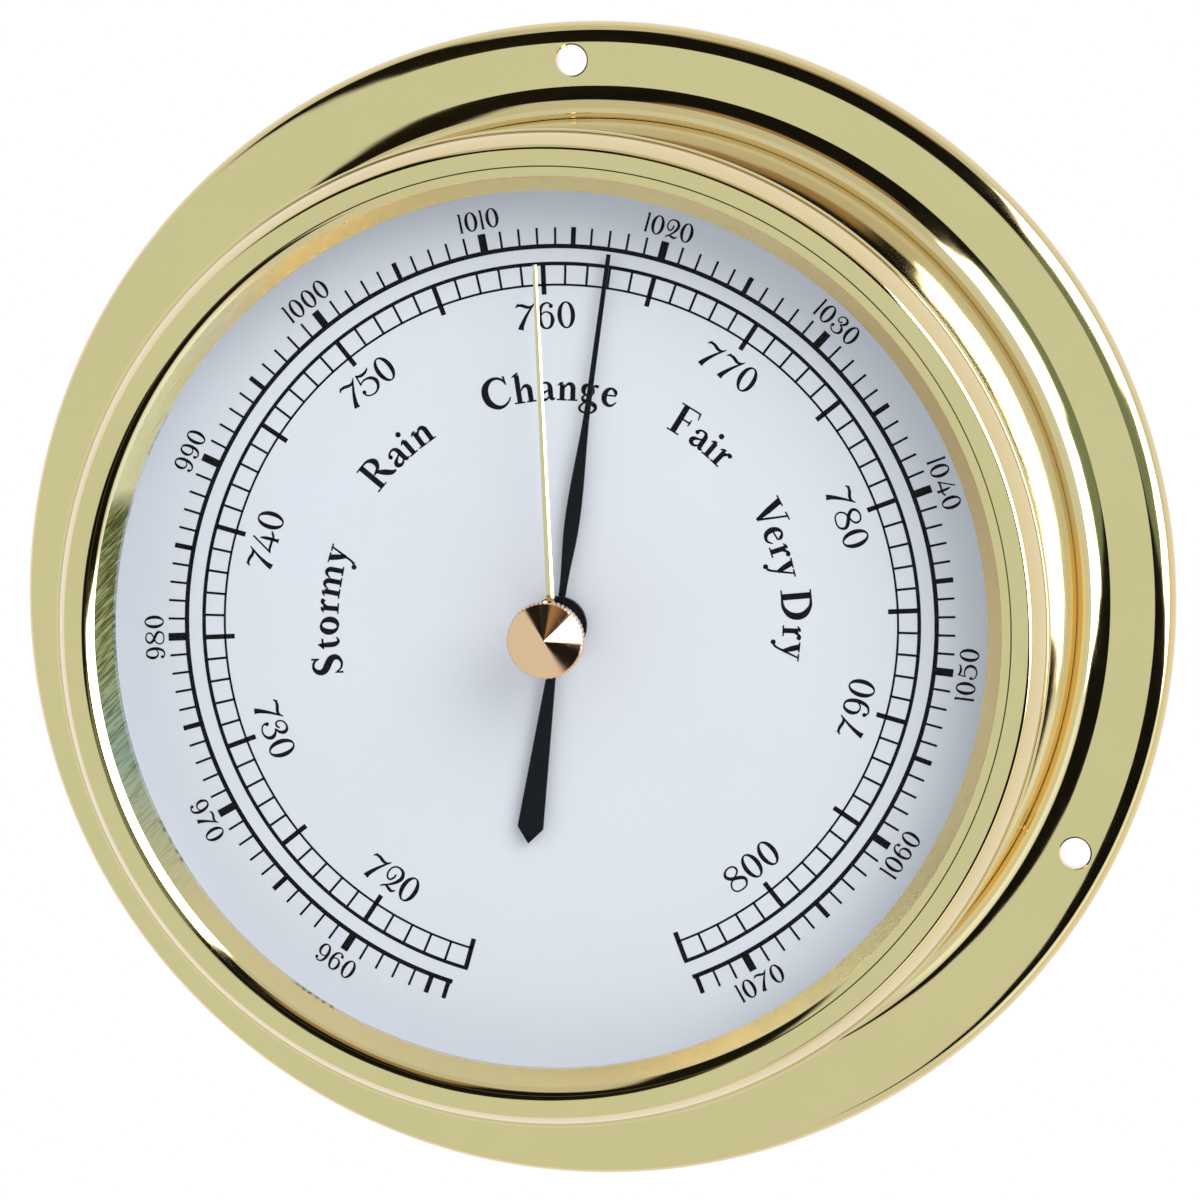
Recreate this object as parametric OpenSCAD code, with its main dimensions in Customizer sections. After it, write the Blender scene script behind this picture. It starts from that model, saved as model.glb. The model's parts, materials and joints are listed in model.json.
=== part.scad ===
// Ship's aneroid barometer: brass case with a screw flange, snap-in bezel, glass with a
// turning set hand, enamelled dial, and a sector and pinion movement driven by one capsule.
// Heights are measured from the flange's back face towards the viewer.

/* [Case] */
// Diameter of the flange, the widest part of the case
flange_d = 120; // [108:0.5:140]
// Wall of the case where it leaves the flange
foot_wall = 2.5; // [1.9:0.1:4]
// Wall of the case below its shoulder
neck_wall = 1.5; // [1.2:0.1:1.8]
// How much the bore narrows in front of the dial
mouth_step = 0.6; // [0.2:0.1:0.8]
// Wall of the mouth that carries the bezel
mouth_wall = 1; // [0.6:0.1:1.1]
// Radius of the shoulder between wall and mouth
shoulder_r = 4.5; // [3:0.5:10]
// Distance from the dial's face to the mouth
front_depth = 8; // [7.2:0.1:14]
// Width of the rib that carries the dial
rib_w = 3.5; // [2:0.5:6]
// Thickness of that rib
rib_t = 1.4; // [0.8:0.1:1.8]
// Width of the flange outside the case
flange_w = 8.5; // [7.6:0.1:12]
// Thickness of the flange
flange_t = 1.9; // [1.5:0.1:3]
// Height of the straight part of the flange's edge
edge_t = 0.9; // [0.3:0.1:1.2]
// Width of the rounding at the flange's edge
edge_w = 2.3; // [1:0.1:2.4]
// Radius of the fillet between flange and case
fillet_r = 1.9; // [0.8:0.1:2.2]

/* [Wall screws] */
// Number of screw holes in the flange
hole_count = 3; // [3:1:6]
// Diameter of the screw holes
hole_d = 3.2; // [2:0.1:3.6]
// Distance from the case's wall to the holes' centres
hole_offset = 4.5; // [4:0.1:5]

/* [Bezel] */
// Height of the bezel above the mouth
bezel_h = 3.6; // [2.4:0.1:5]
// How far the bezel's crest lies inside the mouth's edge
crest_inset = 1.7; // [0.8:0.1:2]
// Radius of the bowed flank between mouth and crest
flank_r = 8; // [4:0.5:20]
// Width of the flat front band
band_w = 1.3; // [0.6:0.1:1.6]
// Radius of the rounding between that band and the cone inside it
break_r = 0.65; // [0.2:0.05:1]
// How far the lip reaches inwards from the mouth's bore
lip_reach = 4.8; // [4:0.1:6]
// Height of the lip's edge above the mouth
lip_h = 0.6; // [0.5:0.1:1]
// Thickness of the lip
lip_t = 0.4; // [0.3:0.05:0.5]
// Length of the skirt inside the mouth
skirt_l = 4; // [2:0.5:5.5]
// Thickness of the skirt
skirt_t = 1.05; // [0.8:0.05:1.4]

/* [Glass] */
// Thickness of the glass
glass_t = 1.6; // [1.2:0.1:2]
// Radial play of the glass in the bezel
glass_play = 0.3; // [0.1:0.1:0.6]
// Diameter of the bore in the glass
glass_bore_d = 4.1; // [3.6:0.1:4.6]
// How far that bore lies below the dial's centre
bore_drop = 0.7; // [0:0.1:1]
// Thickness of the rubber gasket under the glass
gasket_t = 0.8; // [0.4:0.1:1.2]
// Width of the gasket
gasket_w = 1.8; // [1:0.1:2.4]
// Width of the spacer ring between dial and gasket
spacer_w = 1.4; // [0.8:0.1:1.6]

/* [Dial] */
// Radial play of the dial plate in the case
dial_play = 0.6; // [0.2:0.1:1]
// Thickness of the dial plate
dial_t = 0.8; // [0.5:0.1:1.2]
// Diameter of the hole for the pointer's arbor
dial_bore_d = 4.4; // [3:0.1:6]

/* [Set hand] */
// Diameter of the knob over the knurl
knob_d = 7.7; // [6.5:0.1:10]
// Height of the knurled rim
knob_rim_h = 1.2; // [0.6:0.1:2]
// Height of the knob's conical front
knob_cone_h = 1.2; // [0.5:0.1:2.5]
// Number of ridges in the knurl
knurl_n = 54; // [30:1:60]
// Depth of the knurl
knurl_depth = 0.12; // [0.05:0.01:0.2]
// Width of the step between the knurl and the knob's front and back
knob_break = 0.15; // [0.1:0.05:0.3]
// Diameter of the knob's neck
knob_neck_d = 4.6; // [3.6:0.1:6]
// Height of the neck below the flare
knob_neck_h = 0.7; // [0.4:0.1:2]
// Height of the flare between neck and rim
knob_flare_h = 0.9; // [0.4:0.1:2]
// Diameter of the spindle
spindle_d = 2.4; // [1.6:0.1:2.6]
// Diameter of the bush's flange on the glass
bush_flange_d = 6; // [5:0.1:8]
// Thickness of the bush's flange
bush_flange_t = 0.4; // [0.2:0.1:0.8]
// Length of the set hand from its axis
set_hand_l = 36.9; // [30:0.1:40]
// Width of the set hand
set_hand_w = 0.65; // [0.4:0.05:1]
// Thickness of the set hand
set_hand_t = 0.3; // [0.2:0.05:0.5]
// Angle of the stored set hand, clockwise from the top
set_hand_angle = 0; // [-10:0.1:10]

/* [Pointer] */
// Length of the pointer's blade from its axis
pointer_l = 37.4; // [30:0.2:40]
// Length of the counterweight tail
tail_l = 22.2; // [14:0.1:26]
// Widest part of the blade
blade_w = 1.5; // [1:0.05:2.4]
// Distance from the axis to the widest part of the blade
blade_belly = 10.6; // [7:0.2:16]
// Distance from the axis to the start of the straight needle
needle_start = 23; // [18:0.2:28]
// Width of the needle where it starts
needle_w = 0.55; // [0.5:0.05:0.9]
// Width of the needle's blunt tip
blade_tip_w = 0.42; // [0.3:0.01:0.5]
// Width of the blade and tail at the hub
waist_w = 0.7; // [0.4:0.05:1.2]
// Widest part of the tail
tail_w = 2.6; // [1.6:0.1:4]
// Length of the tail's pointed end
tail_point = 1.6; // [0.5:0.1:3]
// Thickness of the pointer
pointer_t = 0.25; // [0.15:0.05:0.4]
// Height of the pointer above the dial
pointer_lift = 1.2; // [1.2:0.1:3]
// Diameter of the pointer's hub disc
hub_d = 5.8; // [4:0.1:7]
// Angle of the stored pointer, clockwise from the top
pointer_angle = 10.5; // [-40:0.1:40]

/* [Movement plates] */
// Height of the base plate's back face
base_h = 4; // [3.6:0.1:5]
// Thickness of the base plate
base_t = 1.4; // [0.8:0.1:1.8]
// Distance between the base plate and the case's bore
base_play = 9; // [8:0.5:11]
// Diameter of the lightening holes in the base plate
base_hole_d = 11; // [4:0.5:11.5]
// Radius of the circle that they lie on
base_hole_r = 24.5; // [21:0.5:25]
// Distance between base plate and movement plate
pillar_l = 14.6; // [14:0.1:18]
// Diameter of the pillars
pillar_d = 4.4; // [3:0.1:5]
// Distance from the movement plate's edge to the pillars' centres
pillar_inset = 4; // [3:0.1:4.6]
// Distance between the movement plate and the case's bore
plate_play = 11; // [10:0.5:13]
// Thickness of the movement plate
plate_t = 1.2; // [0.8:0.1:1.6]
// Diameter of the lightening holes in the movement plate
plate_hole_d = 11; // [4:0.5:11.5]
// Radius of the circle that they lie on
plate_hole_r = 22; // [20:0.5:24]
// Distance between movement plate and bridge
bridge_gap = 5.8; // [5.2:0.1:7]
// Thickness of the bridge
bridge_t = 1.2; // [0.8:0.1:1.6]
// Width of the bridge's middle
bridge_w = 9; // [7:0.5:10]
// Width of the bridge's arms
bridge_arm_w = 6.8; // [5.4:0.2:7]
// Distance from the arbor to the pillar beside it
bridge_tail = 9; // [8.6:0.1:12]
// Distance from the sector's staff to the two pillars beside it, along the bridge
bridge_ahead = 4.4; // [3.6:0.1:6]
// Distance from the staff to these pillars, across the bridge
bridge_aside = 8.5; // [7.6:0.1:11]
// Diameter of the bridge's pillars
bridge_pillar_d = 4; // [3:0.1:5]
// Distance between the bridge's screws and the dial
dial_gap = 1.9; // [0.8:0.1:5]
// Diameter of the posts that hang the movement from the dial
dial_foot_d = 3.2; // [2.4:0.1:4]

/* [Gearing] */
// Size of the teeth: pitch diameter over number of teeth
tooth_size = 0.3; // [0.28:0.01:0.32]
// Number of leaves in the pinion
pinion_n = 10; // [10:1:12]
// Number of teeth that the sector would have as a full wheel
sector_n = 120; // [116:1:124]
// Teeth cut on each side of the sector's middle tooth
sector_side = 6; // [5:1:7]
// Play between the flanks of the teeth
backlash = 0.12; // [0.06:0.01:0.16]
// Thickness of the sector
sector_t = 0.8; // [0.5:0.1:1]
// Height of the sector above the movement plate
sector_lift = 3.1; // [2.8:0.1:3.4]
// Length of the pinion
pinion_l = 2; // [1.4:0.1:2.4]
// Diameter of the pointer's arbor
arbor_d = 1.5; // [1:0.1:1.6]
// Diameter of the sector's staff
staff_d = 1.8; // [1.2:0.1:2.2]
// Distance from the staff to the pin that drives the sector
tail_reach = 4; // [3.8:0.1:4.4]
// Diameter of that pin
drive_pin_d = 1; // [0.6:0.1:1.2]
// Play of the drive pin in the sector's fork, on each side
fork_play = 0.15; // [0.12:0.01:0.25]

/* [Rocking shaft] */
// Distance from the capsule's stem to the rocking shaft's axis
rocker_reach = 3.5; // [3.2:0.1:4]
// How far the rocking shaft's axis lies below the movement plate
rocker_drop = 2.6; // [2.5:0.1:2.8]
// Diameter of the rocking shaft
rocker_d = 2; // [1.4:0.1:2.2]
// How far the shaft runs past the capsule's stem
rocker_over = 5.6; // [4.6:0.1:7]
// How far the shaft runs past the drive pin
rocker_beyond = 3; // [2.4:0.1:5]
// Diameter of the pin that the capsule's stem lifts
lift_pin_d = 0.9; // [0.6:0.1:1]
// Thickness of the bracket's sheet
bracket_t = 0.8; // [0.6:0.1:0.9]
// Width of the bracket
bracket_w = 5; // [4.6:0.1:5.4]
// Thickness of the bracket's lugs
lug_t = 1.6; // [1:0.1:2]
// Diameter of the pivot screws
pivot_screw_d = 2.6; // [2:0.1:3]

/* [Capsule] */
// Diameter of the capsule
capsule_d = 44; // [36:0.5:50]
// Thickness of the capsule at its centre
capsule_t = 4.8; // [4.4:0.1:5]
// Thickness of the capsule's sheet
capsule_skin = 0.35; // [0.25:0.05:0.5]
// Depth of the ripples in the capsule
ripple = 0.3; // [0.1:0.05:0.45]
// Number of ripples from centre to rim
ripple_n = 5; // [3:1:6]
// Diameter of the stem on the capsule
stem_d = 2.4; // [2:0.1:3]
// Distance between base plate and adjusting leaf
leaf_gap = 1.2; // [0.8:0.1:1.4]
// Thickness of the adjusting leaf
leaf_t = 0.8; // [0.5:0.1:1.1]
// Width of the adjusting leaf
leaf_w = 10; // [8:0.5:14]
// Distance from the base plate's edge to the adjusting screw
adjuster_inset = 13; // [11:0.5:15]
// Distance from the base plate's edge to the screws that hold the leaf
anchor_inset = 11; // [7:0.5:14]
// Diameter of the adjusting screw
adjuster_d = 3; // [2:0.1:3.6]
// Diameter of the adjusting screw's head
adjuster_head_d = 4.4; // [4:0.1:5]

/* [Rear cover] */
// Thickness of the rear cover
cover_t = 0.8; // [0.6:0.1:1]
// Depth of the recess that the cover lies in
cover_recess = 1.4; // [1.2:0.1:1.8]
// Width of the ledge that the cover lies on
cover_ledge = 1.1; // [0.7:0.1:1.4]
// Diameter of the hole for the screwdriver
access_d = 8; // [6:0.1:9]
// Diameter of the air holes
vent_d = 2; // [1:0.1:3]
// Radius of the circle that the air holes lie on
vent_r = 20; // [12:0.5:22]
// Distance from the cover's edge to the stiffening bead pressed into it
bead_inset = 12.9; // [9:0.1:14]
// Width of that bead
bead_w = 3.2; // [2:0.1:4]
// Height of that bead
bead_h = 0.35; // [0.2:0.05:0.5]

/* [Hidden] */

$fn = 96;
through = 1;
press = 0.01;
running = 0.05;
seat_gap = 0.1;

screw_r = 1;
screw_head_r = 1.9;
screw_head_t = 0.9;
screw_grip = 4;
slot_w = 0.5;
slot_depth = 0.4;

base_top = base_h + base_t;
plate_back = base_top + pillar_l;
plate_top = plate_back + plate_t;
bridge_back = plate_top + bridge_gap;
bridge_top = bridge_back + bridge_t;
dial_back = bridge_top + screw_head_t + dial_gap;
dial_h = dial_back + dial_t;
case_h = dial_h + front_depth;

flange_r = flange_d / 2;
foot_r = flange_r - flange_w;
bore_r = foot_r - foot_wall;
neck_r = bore_r + neck_wall;
mouth_bore_r = bore_r - mouth_step;
mouth_r = mouth_bore_r + mouth_wall;
rib_r = bore_r - rib_w;
hole_ring_r = foot_r + hole_offset;
cover_bore_r = bore_r + cover_ledge;
shoulder_angle = acos(1 - (neck_r - mouth_r) / shoulder_r);
shoulder_h = case_h - shoulder_r * sin(shoulder_angle);
dial_r = mouth_bore_r - dial_play;
base_r = bore_r - base_play;
plate_r = bore_r - plate_play;
pillar_r = plate_r - pillar_inset;

crest_r = mouth_r - crest_inset;
crest_h = case_h + bezel_h;
opening_r = mouth_bore_r - lip_reach;
lip_top = case_h + lip_h;
glass_top = lip_top - lip_t;
glass_back = glass_top - glass_t;
skirt_play = 0.05;
skirt_r = mouth_bore_r - skirt_play;
skirt_bore_r = skirt_r - skirt_t;
glass_r = skirt_bore_r - glass_play;
gasket_back = glass_back - gasket_t;
spacer_r = skirt_bore_r - glass_play / 2;

spindle_r = spindle_d / 2;
bush_bore_r = spindle_r + running;
bush_top = glass_top + bush_flange_t;
washer_t = 0.15;
set_hub_top = glass_back - washer_t - running;
set_hub_t = 0.75;
set_hub_r = 2.4;
set_hub_back = set_hub_top - set_hub_t;
spindle_head_t = 0.4;
spindle_head_r = spindle_r + 0.4;
knob_back = bush_top + seat_gap;
rim_back = knob_back + knob_neck_h + knob_flare_h;
rim_top = rim_back + knob_rim_h;
knob_bore_top = rim_top - 0.6;

pointer_back = dial_h + pointer_lift;
hub_t = 0.9;
hub_back = pointer_back - 0.25;
hub_top = hub_back + hub_t;
arbor_top = hub_top - 0.25;
collet_r = 1.6;
collet_l = 0.9;

pillar_angles = [30, 150, 270];
foot_angles = [80, 200, 320];

pressure_angle = 20;
pinion_pitch_r = tooth_size * pinion_n / 2;
sector_pitch_r = tooth_size * sector_n / 2;
gear_distance = pinion_pitch_r + sector_pitch_r;
sector_addendum = 0.55 * tooth_size;
pinion_addendum = tooth_size;
root_play = 0.4 * tooth_size;
staff_y = -rocker_reach;
staff_x = sqrt(gear_distance * gear_distance - staff_y * staff_y);
mesh_angle = atan2(-staff_y, -staff_x);
sector_back = plate_top + sector_lift;
sector_top = sector_back + sector_t;
sector_mid = (sector_back + sector_top) / 2;
rim_w = 2.2;
arbor_r = arbor_d / 2;
staff_r = staff_d / 2;
bush_r = 2;
bush_flange_r = 2.6;
bush_lip_t = 0.4;
drive_x = staff_x + tail_reach;
fork_half = drive_pin_d / 2 + fork_play;
fork_wall = 1;
pinion_back = sector_mid - pinion_l / 2;

rocker_y = staff_y;
rocker_h = plate_back - rocker_drop;
rocker_r = rocker_d / 2;
rocker_x0 = -rocker_over;
rocker_x1 = drive_x + rocker_beyond;
pivot_r = 0.4;
pivot_l = 0.9;
pivot_play = 0.4;
lug_x0 = rocker_x0 - pivot_play - lug_t;
lug_x1 = rocker_x1 + pivot_play;
bracket_back = plate_back - bracket_t;
lug_back = rocker_h - pivot_screw_d / 2 - 0.8;
drive_top = sector_top + 0.5;
lift_pin_r = lift_pin_d / 2;
fork_slot = lift_pin_r + running;
cheek_t = 0.8;
blade_t = 1.2;
fork_cap = 0.55;

leaf_back = base_top + leaf_gap;
leaf_top = leaf_back + leaf_t;
foot_l = 0.9;
foot_r2 = 2.5;
capsule_back = leaf_top + foot_l;
capsule_mid = capsule_back + capsule_t / 2;
capsule_top = capsule_back + capsule_t;
capsule_r = capsule_d / 2;
capsule_rim = 1.6;
boss_r = 3;
boss_t = 0.9;
anchor_x = anchor_inset - base_r;
adjuster_x = base_r - adjuster_inset;
leaf_over = 3;

cover_r = cover_bore_r - 0.2;
cover_back = cover_recess - cover_t;
lug_r = 2.4;
lug_ring_r = bore_r - 1.8;
lug_l = 7;
cover_screw_r = 1;
cover_screw_head_r = 1.9;
cover_screw_head_t = 0.55;
cover_screw_grip = 4.5;
lug_angles = [60, 180, 300];

function arc(cx, cy, rx, ry, a0, a1, n) =
    [for (i = [0 : n]) let (a = a0 + (a1 - a0) * i / n) [cx + rx * cos(a), cy + ry * sin(a)]];

// Arc of radius r from p to q, bowed to the right of that line
function bow(p, q, r, n) =
    let (d = q - p, l = norm(d), u = d / l, side = [u[1], -u[0]],
         c = (p + q) / 2 - side * sqrt(r * r - l * l / 4),
         a0 = atan2(p[1] - c[1], p[0] - c[0]), a1 = atan2(q[1] - c[1], q[0] - c[0]))
    arc(c[0], c[1], r, r, a0, a1, n);

function polar(r, a) = [r * cos(a), r * sin(a)];

function involute(a) = tan(a) * 180 / PI - a;

// Half of a tooth's width at radius r, in degrees
function half_tooth(n, r) =
    let (pitch = tooth_size * n / 2, base = pitch * cos(pressure_angle))
    90 / n - backlash / 4 / pitch * 180 / PI + involute(pressure_angle) - involute(acos(min(1, base / r)));

function tooth(n, middle, root, tip) =
    let (base = tooth_size * n / 2 * cos(pressure_angle), start = max(root, base), steps = 3,
         flank = [for (i = [0 : steps]) start + (tip - start) * i / steps])
    concat([polar(root, middle - half_tooth(n, start))],
        [for (r = flank) polar(r, middle - half_tooth(n, r))],
        [for (i = [steps : -1 : 0]) polar(flank[i], middle + half_tooth(n, flank[i]))],
        [polar(root, middle + half_tooth(n, start))]);

// Turns a piece so that its heights point at the viewer
module facing() {
    rotate([90, 0, 0]) children();
}

module disc(r, bottom, top) {
    translate([0, 0, bottom]) cylinder(r = r, h = top - bottom);
}

module tube(r, bore, bottom, top) {
    difference() {
        disc(r, bottom, top);
        disc(bore, bottom - through, top + through);
    }
}

module around(angles, r) {
    for (a = angles) rotate([0, 0, a]) translate([r, 0, 0]) children();
}

// Cheese-head screw whose head lies above the height 0 and whose shank points down
module screw(shank_r, head_r, head_t, grip) {
    difference() {
        union() {
            disc(shank_r, -grip, 0);
            disc(head_r, 0, head_t);
        }
        translate([-head_r - through, -slot_w / 2, head_t - slot_depth])
            cube([2 * (head_r + through), slot_w, slot_depth + through]);
    }
}

// Flat bar of width w from point p to point q
module bar(p, q, w, bottom, top) {
    d = q - p;
    translate([p[0], p[1], bottom]) rotate([0, 0, atan2(d[1], d[0])])
        translate([0, -w / 2, 0]) cube([norm(d), w, top - bottom]);
}

module case_shell() color([0.80, 0.72, 0.42]) facing() {
    difference() {
        union() {
            rotate_extrude() polygon(concat(
                [[cover_bore_r, 0], [flange_r, 0]],
                arc(flange_r - edge_w, edge_t, edge_w, flange_t - edge_t, 0, 90, 14),
                arc(foot_r + fillet_r, flange_t + fillet_r, fillet_r, fillet_r, 270, 180, 12),
                arc(neck_r - shoulder_r, shoulder_h, shoulder_r, shoulder_r, 0, shoulder_angle, 10),
                [[mouth_bore_r, case_h], [mouth_bore_r, dial_back], [rib_r, dial_back],
                 [rib_r, dial_back - rib_t], [bore_r, dial_back - rib_t],
                 [bore_r, cover_recess], [cover_bore_r, cover_recess]]));
            around(lug_angles, lug_ring_r) intersection() {
                disc(lug_r, cover_recess, cover_recess + lug_l);
                translate([-lug_ring_r, 0, 0]) disc(bore_r + 0.4, 0, case_h);
            }
        }
        around([for (i = [0 : hole_count - 1]) 90 + i * 360 / hole_count], hole_ring_r)
            disc(hole_d / 2, -through, flange_t + through);
        around(lug_angles, lug_ring_r)
            disc(cover_screw_r, cover_recess - through, cover_recess + cover_screw_grip);
    }
}

module bezel_ring() color([0.84, 0.76, 0.46]) facing() {
    center = [crest_r - band_w, crest_h - break_r];
    lip = [opening_r, lip_top] - center;
    cone_start = 360 + atan2(lip[1], lip[0]) - acos(break_r / norm(lip));
    rotate_extrude() polygon(concat(
        [[skirt_bore_r, case_h - skirt_l], [skirt_r, case_h - skirt_l], [skirt_r, case_h]],
        bow([mouth_r, case_h], [crest_r, crest_h], flank_r, 10),
        arc(center[0], center[1], break_r, break_r, 90, cone_start, 6),
        [[opening_r, lip_top], [opening_r, glass_top], [skirt_bore_r, glass_top]]));
}

module front_glass() color([0.85, 0.92, 0.95, 0.3]) facing() {
    difference() {
        disc(glass_r, glass_back, glass_top);
        translate([0, -bore_drop, 0]) disc(glass_bore_d / 2, glass_back - through, glass_top + through);
    }
}

module glass_gasket() color([0.12, 0.12, 0.12]) facing()
    tube(glass_r, glass_r - gasket_w, gasket_back, glass_back);

module spacer_ring() color([0.9, 0.9, 0.9]) facing()
    tube(spacer_r, spacer_r - spacer_w, dial_h, gasket_back);

module dial_plate() color([0.88, 0.90, 0.94]) facing()
    tube(dial_r, dial_bore_d / 2, dial_back, dial_h);

module dial_feet() color([0.72, 0.68, 0.5]) facing()
    around(foot_angles, pillar_r) {
        disc(dial_foot_d / 2, plate_top, dial_back);
        disc(screw_r, plate_back - 2, plate_top);
    }

module dial_foot_nuts() color([0.75, 0.66, 0.38]) facing()
    around(foot_angles, pillar_r) difference() {
        translate([0, 0, plate_back - 1.4]) cylinder(r = 2.3, h = 1.4, $fn = 6);
        disc(screw_r + press, plate_back - 2, plate_back + through);
    }

// Everything on the set hand's own axis
module set_axis() {
    facing() translate([0, -bore_drop, 0]) children();
}

module glass_bush() color([0.82, 0.72, 0.42]) set_axis() difference() {
    union() {
        disc(glass_bore_d / 2 - running, glass_back, glass_top);
        disc(bush_flange_d / 2, glass_top, bush_top);
    }
    disc(bush_bore_r, glass_back - through, bush_top + through);
}

module set_knob() color([0.85, 0.72, 0.45]) set_axis() difference() {
    core_r = knob_d / 2 - knurl_depth - knob_break;
    union() {
        rotate_extrude() polygon([[0, knob_back], [knob_neck_d / 2, knob_back],
            [knob_neck_d / 2, knob_back + knob_neck_h], [core_r, rim_back],
            [core_r, rim_top], [0, rim_top + knob_cone_h]]);
        translate([0, 0, rim_back]) linear_extrude(knob_rim_h)
            polygon([for (i = [0 : 2 * knurl_n - 1])
                polar(knob_d / 2 - (i % 2) * knurl_depth, i * 180 / knurl_n)]);
    }
    disc(spindle_r + press, knob_back - through, knob_bore_top);
}

module set_spindle() color([0.78, 0.68, 0.4]) set_axis() {
    disc(spindle_r, set_hub_back, knob_bore_top);
    disc(spindle_head_r, set_hub_back - spindle_head_t, set_hub_back);
}

module friction_washer() color([0.75, 0.75, 0.78]) set_axis()
    tube(set_hub_r - 0.1, spindle_r + running, set_hub_top, set_hub_top + washer_t);

module set_hand() color([0.80, 0.74, 0.5]) set_axis() rotate([0, 0, 90 - set_hand_angle])
    difference() {
        union() {
            disc(set_hub_r, set_hub_back, set_hub_top);
            translate([0, -set_hand_w / 2, set_hub_top - set_hand_t])
                cube([set_hand_l, set_hand_w, set_hand_t]);
        }
        disc(spindle_r + press, set_hub_back - through, set_hub_top + through);
    }

// Everything that turns with the pointer
module pointer_axis() {
    facing() rotate([0, 0, 90 - pointer_angle]) children();
}

blade_x = concat([for (i = [0 : 5]) hub_d / 2 + (blade_belly - hub_d / 2) * i / 6],
    [for (i = [0 : 10]) blade_belly + (needle_start - blade_belly) * i / 10]);

// Smooth step from a to b while t goes from 0 to 1
function blend(a, b, t) = a + (b - a) * (1 - cos(180 * t)) / 2;

// Half of the blade's width at distance x from the axis
function blade_half(x) = x < blade_belly
    ? blend(waist_w, blade_w, (x - hub_d / 2) / (blade_belly - hub_d / 2)) / 2
    : blend(blade_w, needle_w, (x - blade_belly) / (needle_start - blade_belly)) / 2;

module pointer() color([0.07, 0.07, 0.08]) pointer_axis() difference() {
    union() {
        disc(hub_d / 2, hub_back, hub_top);
        translate([0, 0, pointer_back]) linear_extrude(pointer_t) polygon(concat(
            [for (x = blade_x) [x, -blade_half(x)]],
            [[pointer_l, -blade_tip_w / 2], [pointer_l, blade_tip_w / 2]],
            [for (i = [len(blade_x) - 1 : -1 : 0]) [blade_x[i], blade_half(blade_x[i])]],
            [[-hub_d / 2, waist_w / 2], [tail_point - tail_l, tail_w / 2], [-tail_l, 0],
             [tail_point - tail_l, -tail_w / 2], [-hub_d / 2, -waist_w / 2]]));
    }
    disc(arbor_r + press, hub_back - through, arbor_top);
}

module pointer_collet() color([0.78, 0.68, 0.4]) facing()
    tube(collet_r, arbor_r + press, hub_back - collet_l, hub_back);

module pointer_arbor() color([0.7, 0.7, 0.74]) facing()
    disc(arbor_r, plate_back + seat_gap, arbor_top);

module pinion() color([0.72, 0.72, 0.76]) facing() difference() {
    root = pinion_pitch_r - sector_addendum - root_play;
    translate([0, 0, pinion_back]) linear_extrude(pinion_l) polygon([
        for (i = [0 : pinion_n - 1])
            each tooth(pinion_n, mesh_angle + 180 + (i + 0.5) * 360 / pinion_n, root,
                pinion_pitch_r + pinion_addendum)]);
    disc(arbor_r + press, pinion_back - through, pinion_back + pinion_l + through);
}

spring_back = plate_top + 0.9;
spring_w = 0.6;
spring_t = 0.12;
spring_turns = 4;
spring_r0 = 1.9;
spring_r1 = 6.2;
stud_angle = 120;

module hairspring_collet() color([0.78, 0.68, 0.4]) facing()
    tube(spring_r0 - spring_t / 2 - running, arbor_r + press, spring_back - 0.2,
        spring_back + spring_w + 0.2);

module hairspring() color([0.35, 0.4, 0.6]) facing() {
    steps = 24 * spring_turns;
    path = [for (i = [0 : steps])
        [spring_r0 + (spring_r1 - spring_r0) * i / steps, stud_angle + 360 * spring_turns * (i / steps - 1)]];
    translate([0, 0, spring_back]) linear_extrude(spring_w) polygon(concat(
        [for (p = path) polar(p[0] + spring_t / 2, p[1])],
        [for (i = [steps : -1 : 0]) polar(path[i][0] - spring_t / 2, path[i][1])]));
}

module hairspring_stud() color([0.78, 0.68, 0.4]) facing()
    rotate([0, 0, stud_angle]) translate([spring_r1 + spring_t / 2 + running + 0.6, 0, 0])
        disc(0.6, plate_top, spring_back + spring_w + 0.3);

module bush_pair(bore) {
    difference() {
        union() {
            disc(bush_r, plate_back, plate_top);
            disc(bush_flange_r, plate_top, plate_top + bush_lip_t);
            disc(bush_r, bridge_back, bridge_top);
            disc(bush_flange_r, bridge_top, bridge_top + bush_lip_t);
        }
        disc(bore, plate_back - through, bridge_top + through);
    }
}

module arbor_bushes() color([0.82, 0.7, 0.36]) facing() bush_pair(arbor_r + running);

module staff_bushes() color([0.82, 0.7, 0.36]) facing()
    translate([staff_x, staff_y, 0]) bush_pair(staff_r + running);

bridge_feet = [[-bridge_tail, 0], [staff_x + bridge_ahead, staff_y - bridge_aside],
    [staff_x + bridge_ahead, staff_y + bridge_aside]];
bridge_eye = 0.4;

module movement_bridge() color([0.82, 0.74, 0.45]) facing() difference() {
    staff = [staff_x, staff_y];
    union() {
        bar([0, 0], staff, bridge_w, bridge_back, bridge_top);
        bar([0, 0], bridge_feet[0], bridge_arm_w, bridge_back, bridge_top);
        bar(staff, bridge_feet[1], bridge_arm_w, bridge_back, bridge_top);
        bar(staff, bridge_feet[2], bridge_arm_w, bridge_back, bridge_top);
        for (p = [[0, 0], staff]) translate([p[0], p[1], 0])
            disc(bridge_w / 2 + bridge_eye, bridge_back, bridge_top);
        for (p = bridge_feet) translate([p[0], p[1], 0])
            disc(bridge_arm_w / 2 + bridge_eye, bridge_back, bridge_top);
    }
    disc(bush_r + press, bridge_back - through, bridge_top + through);
    translate([staff_x, staff_y, 0]) disc(bush_r + press, bridge_back - through, bridge_top + through);
    for (p = bridge_feet) translate([p[0], p[1], 0])
        disc(screw_r + running, bridge_back - through, bridge_top + through);
}

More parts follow.
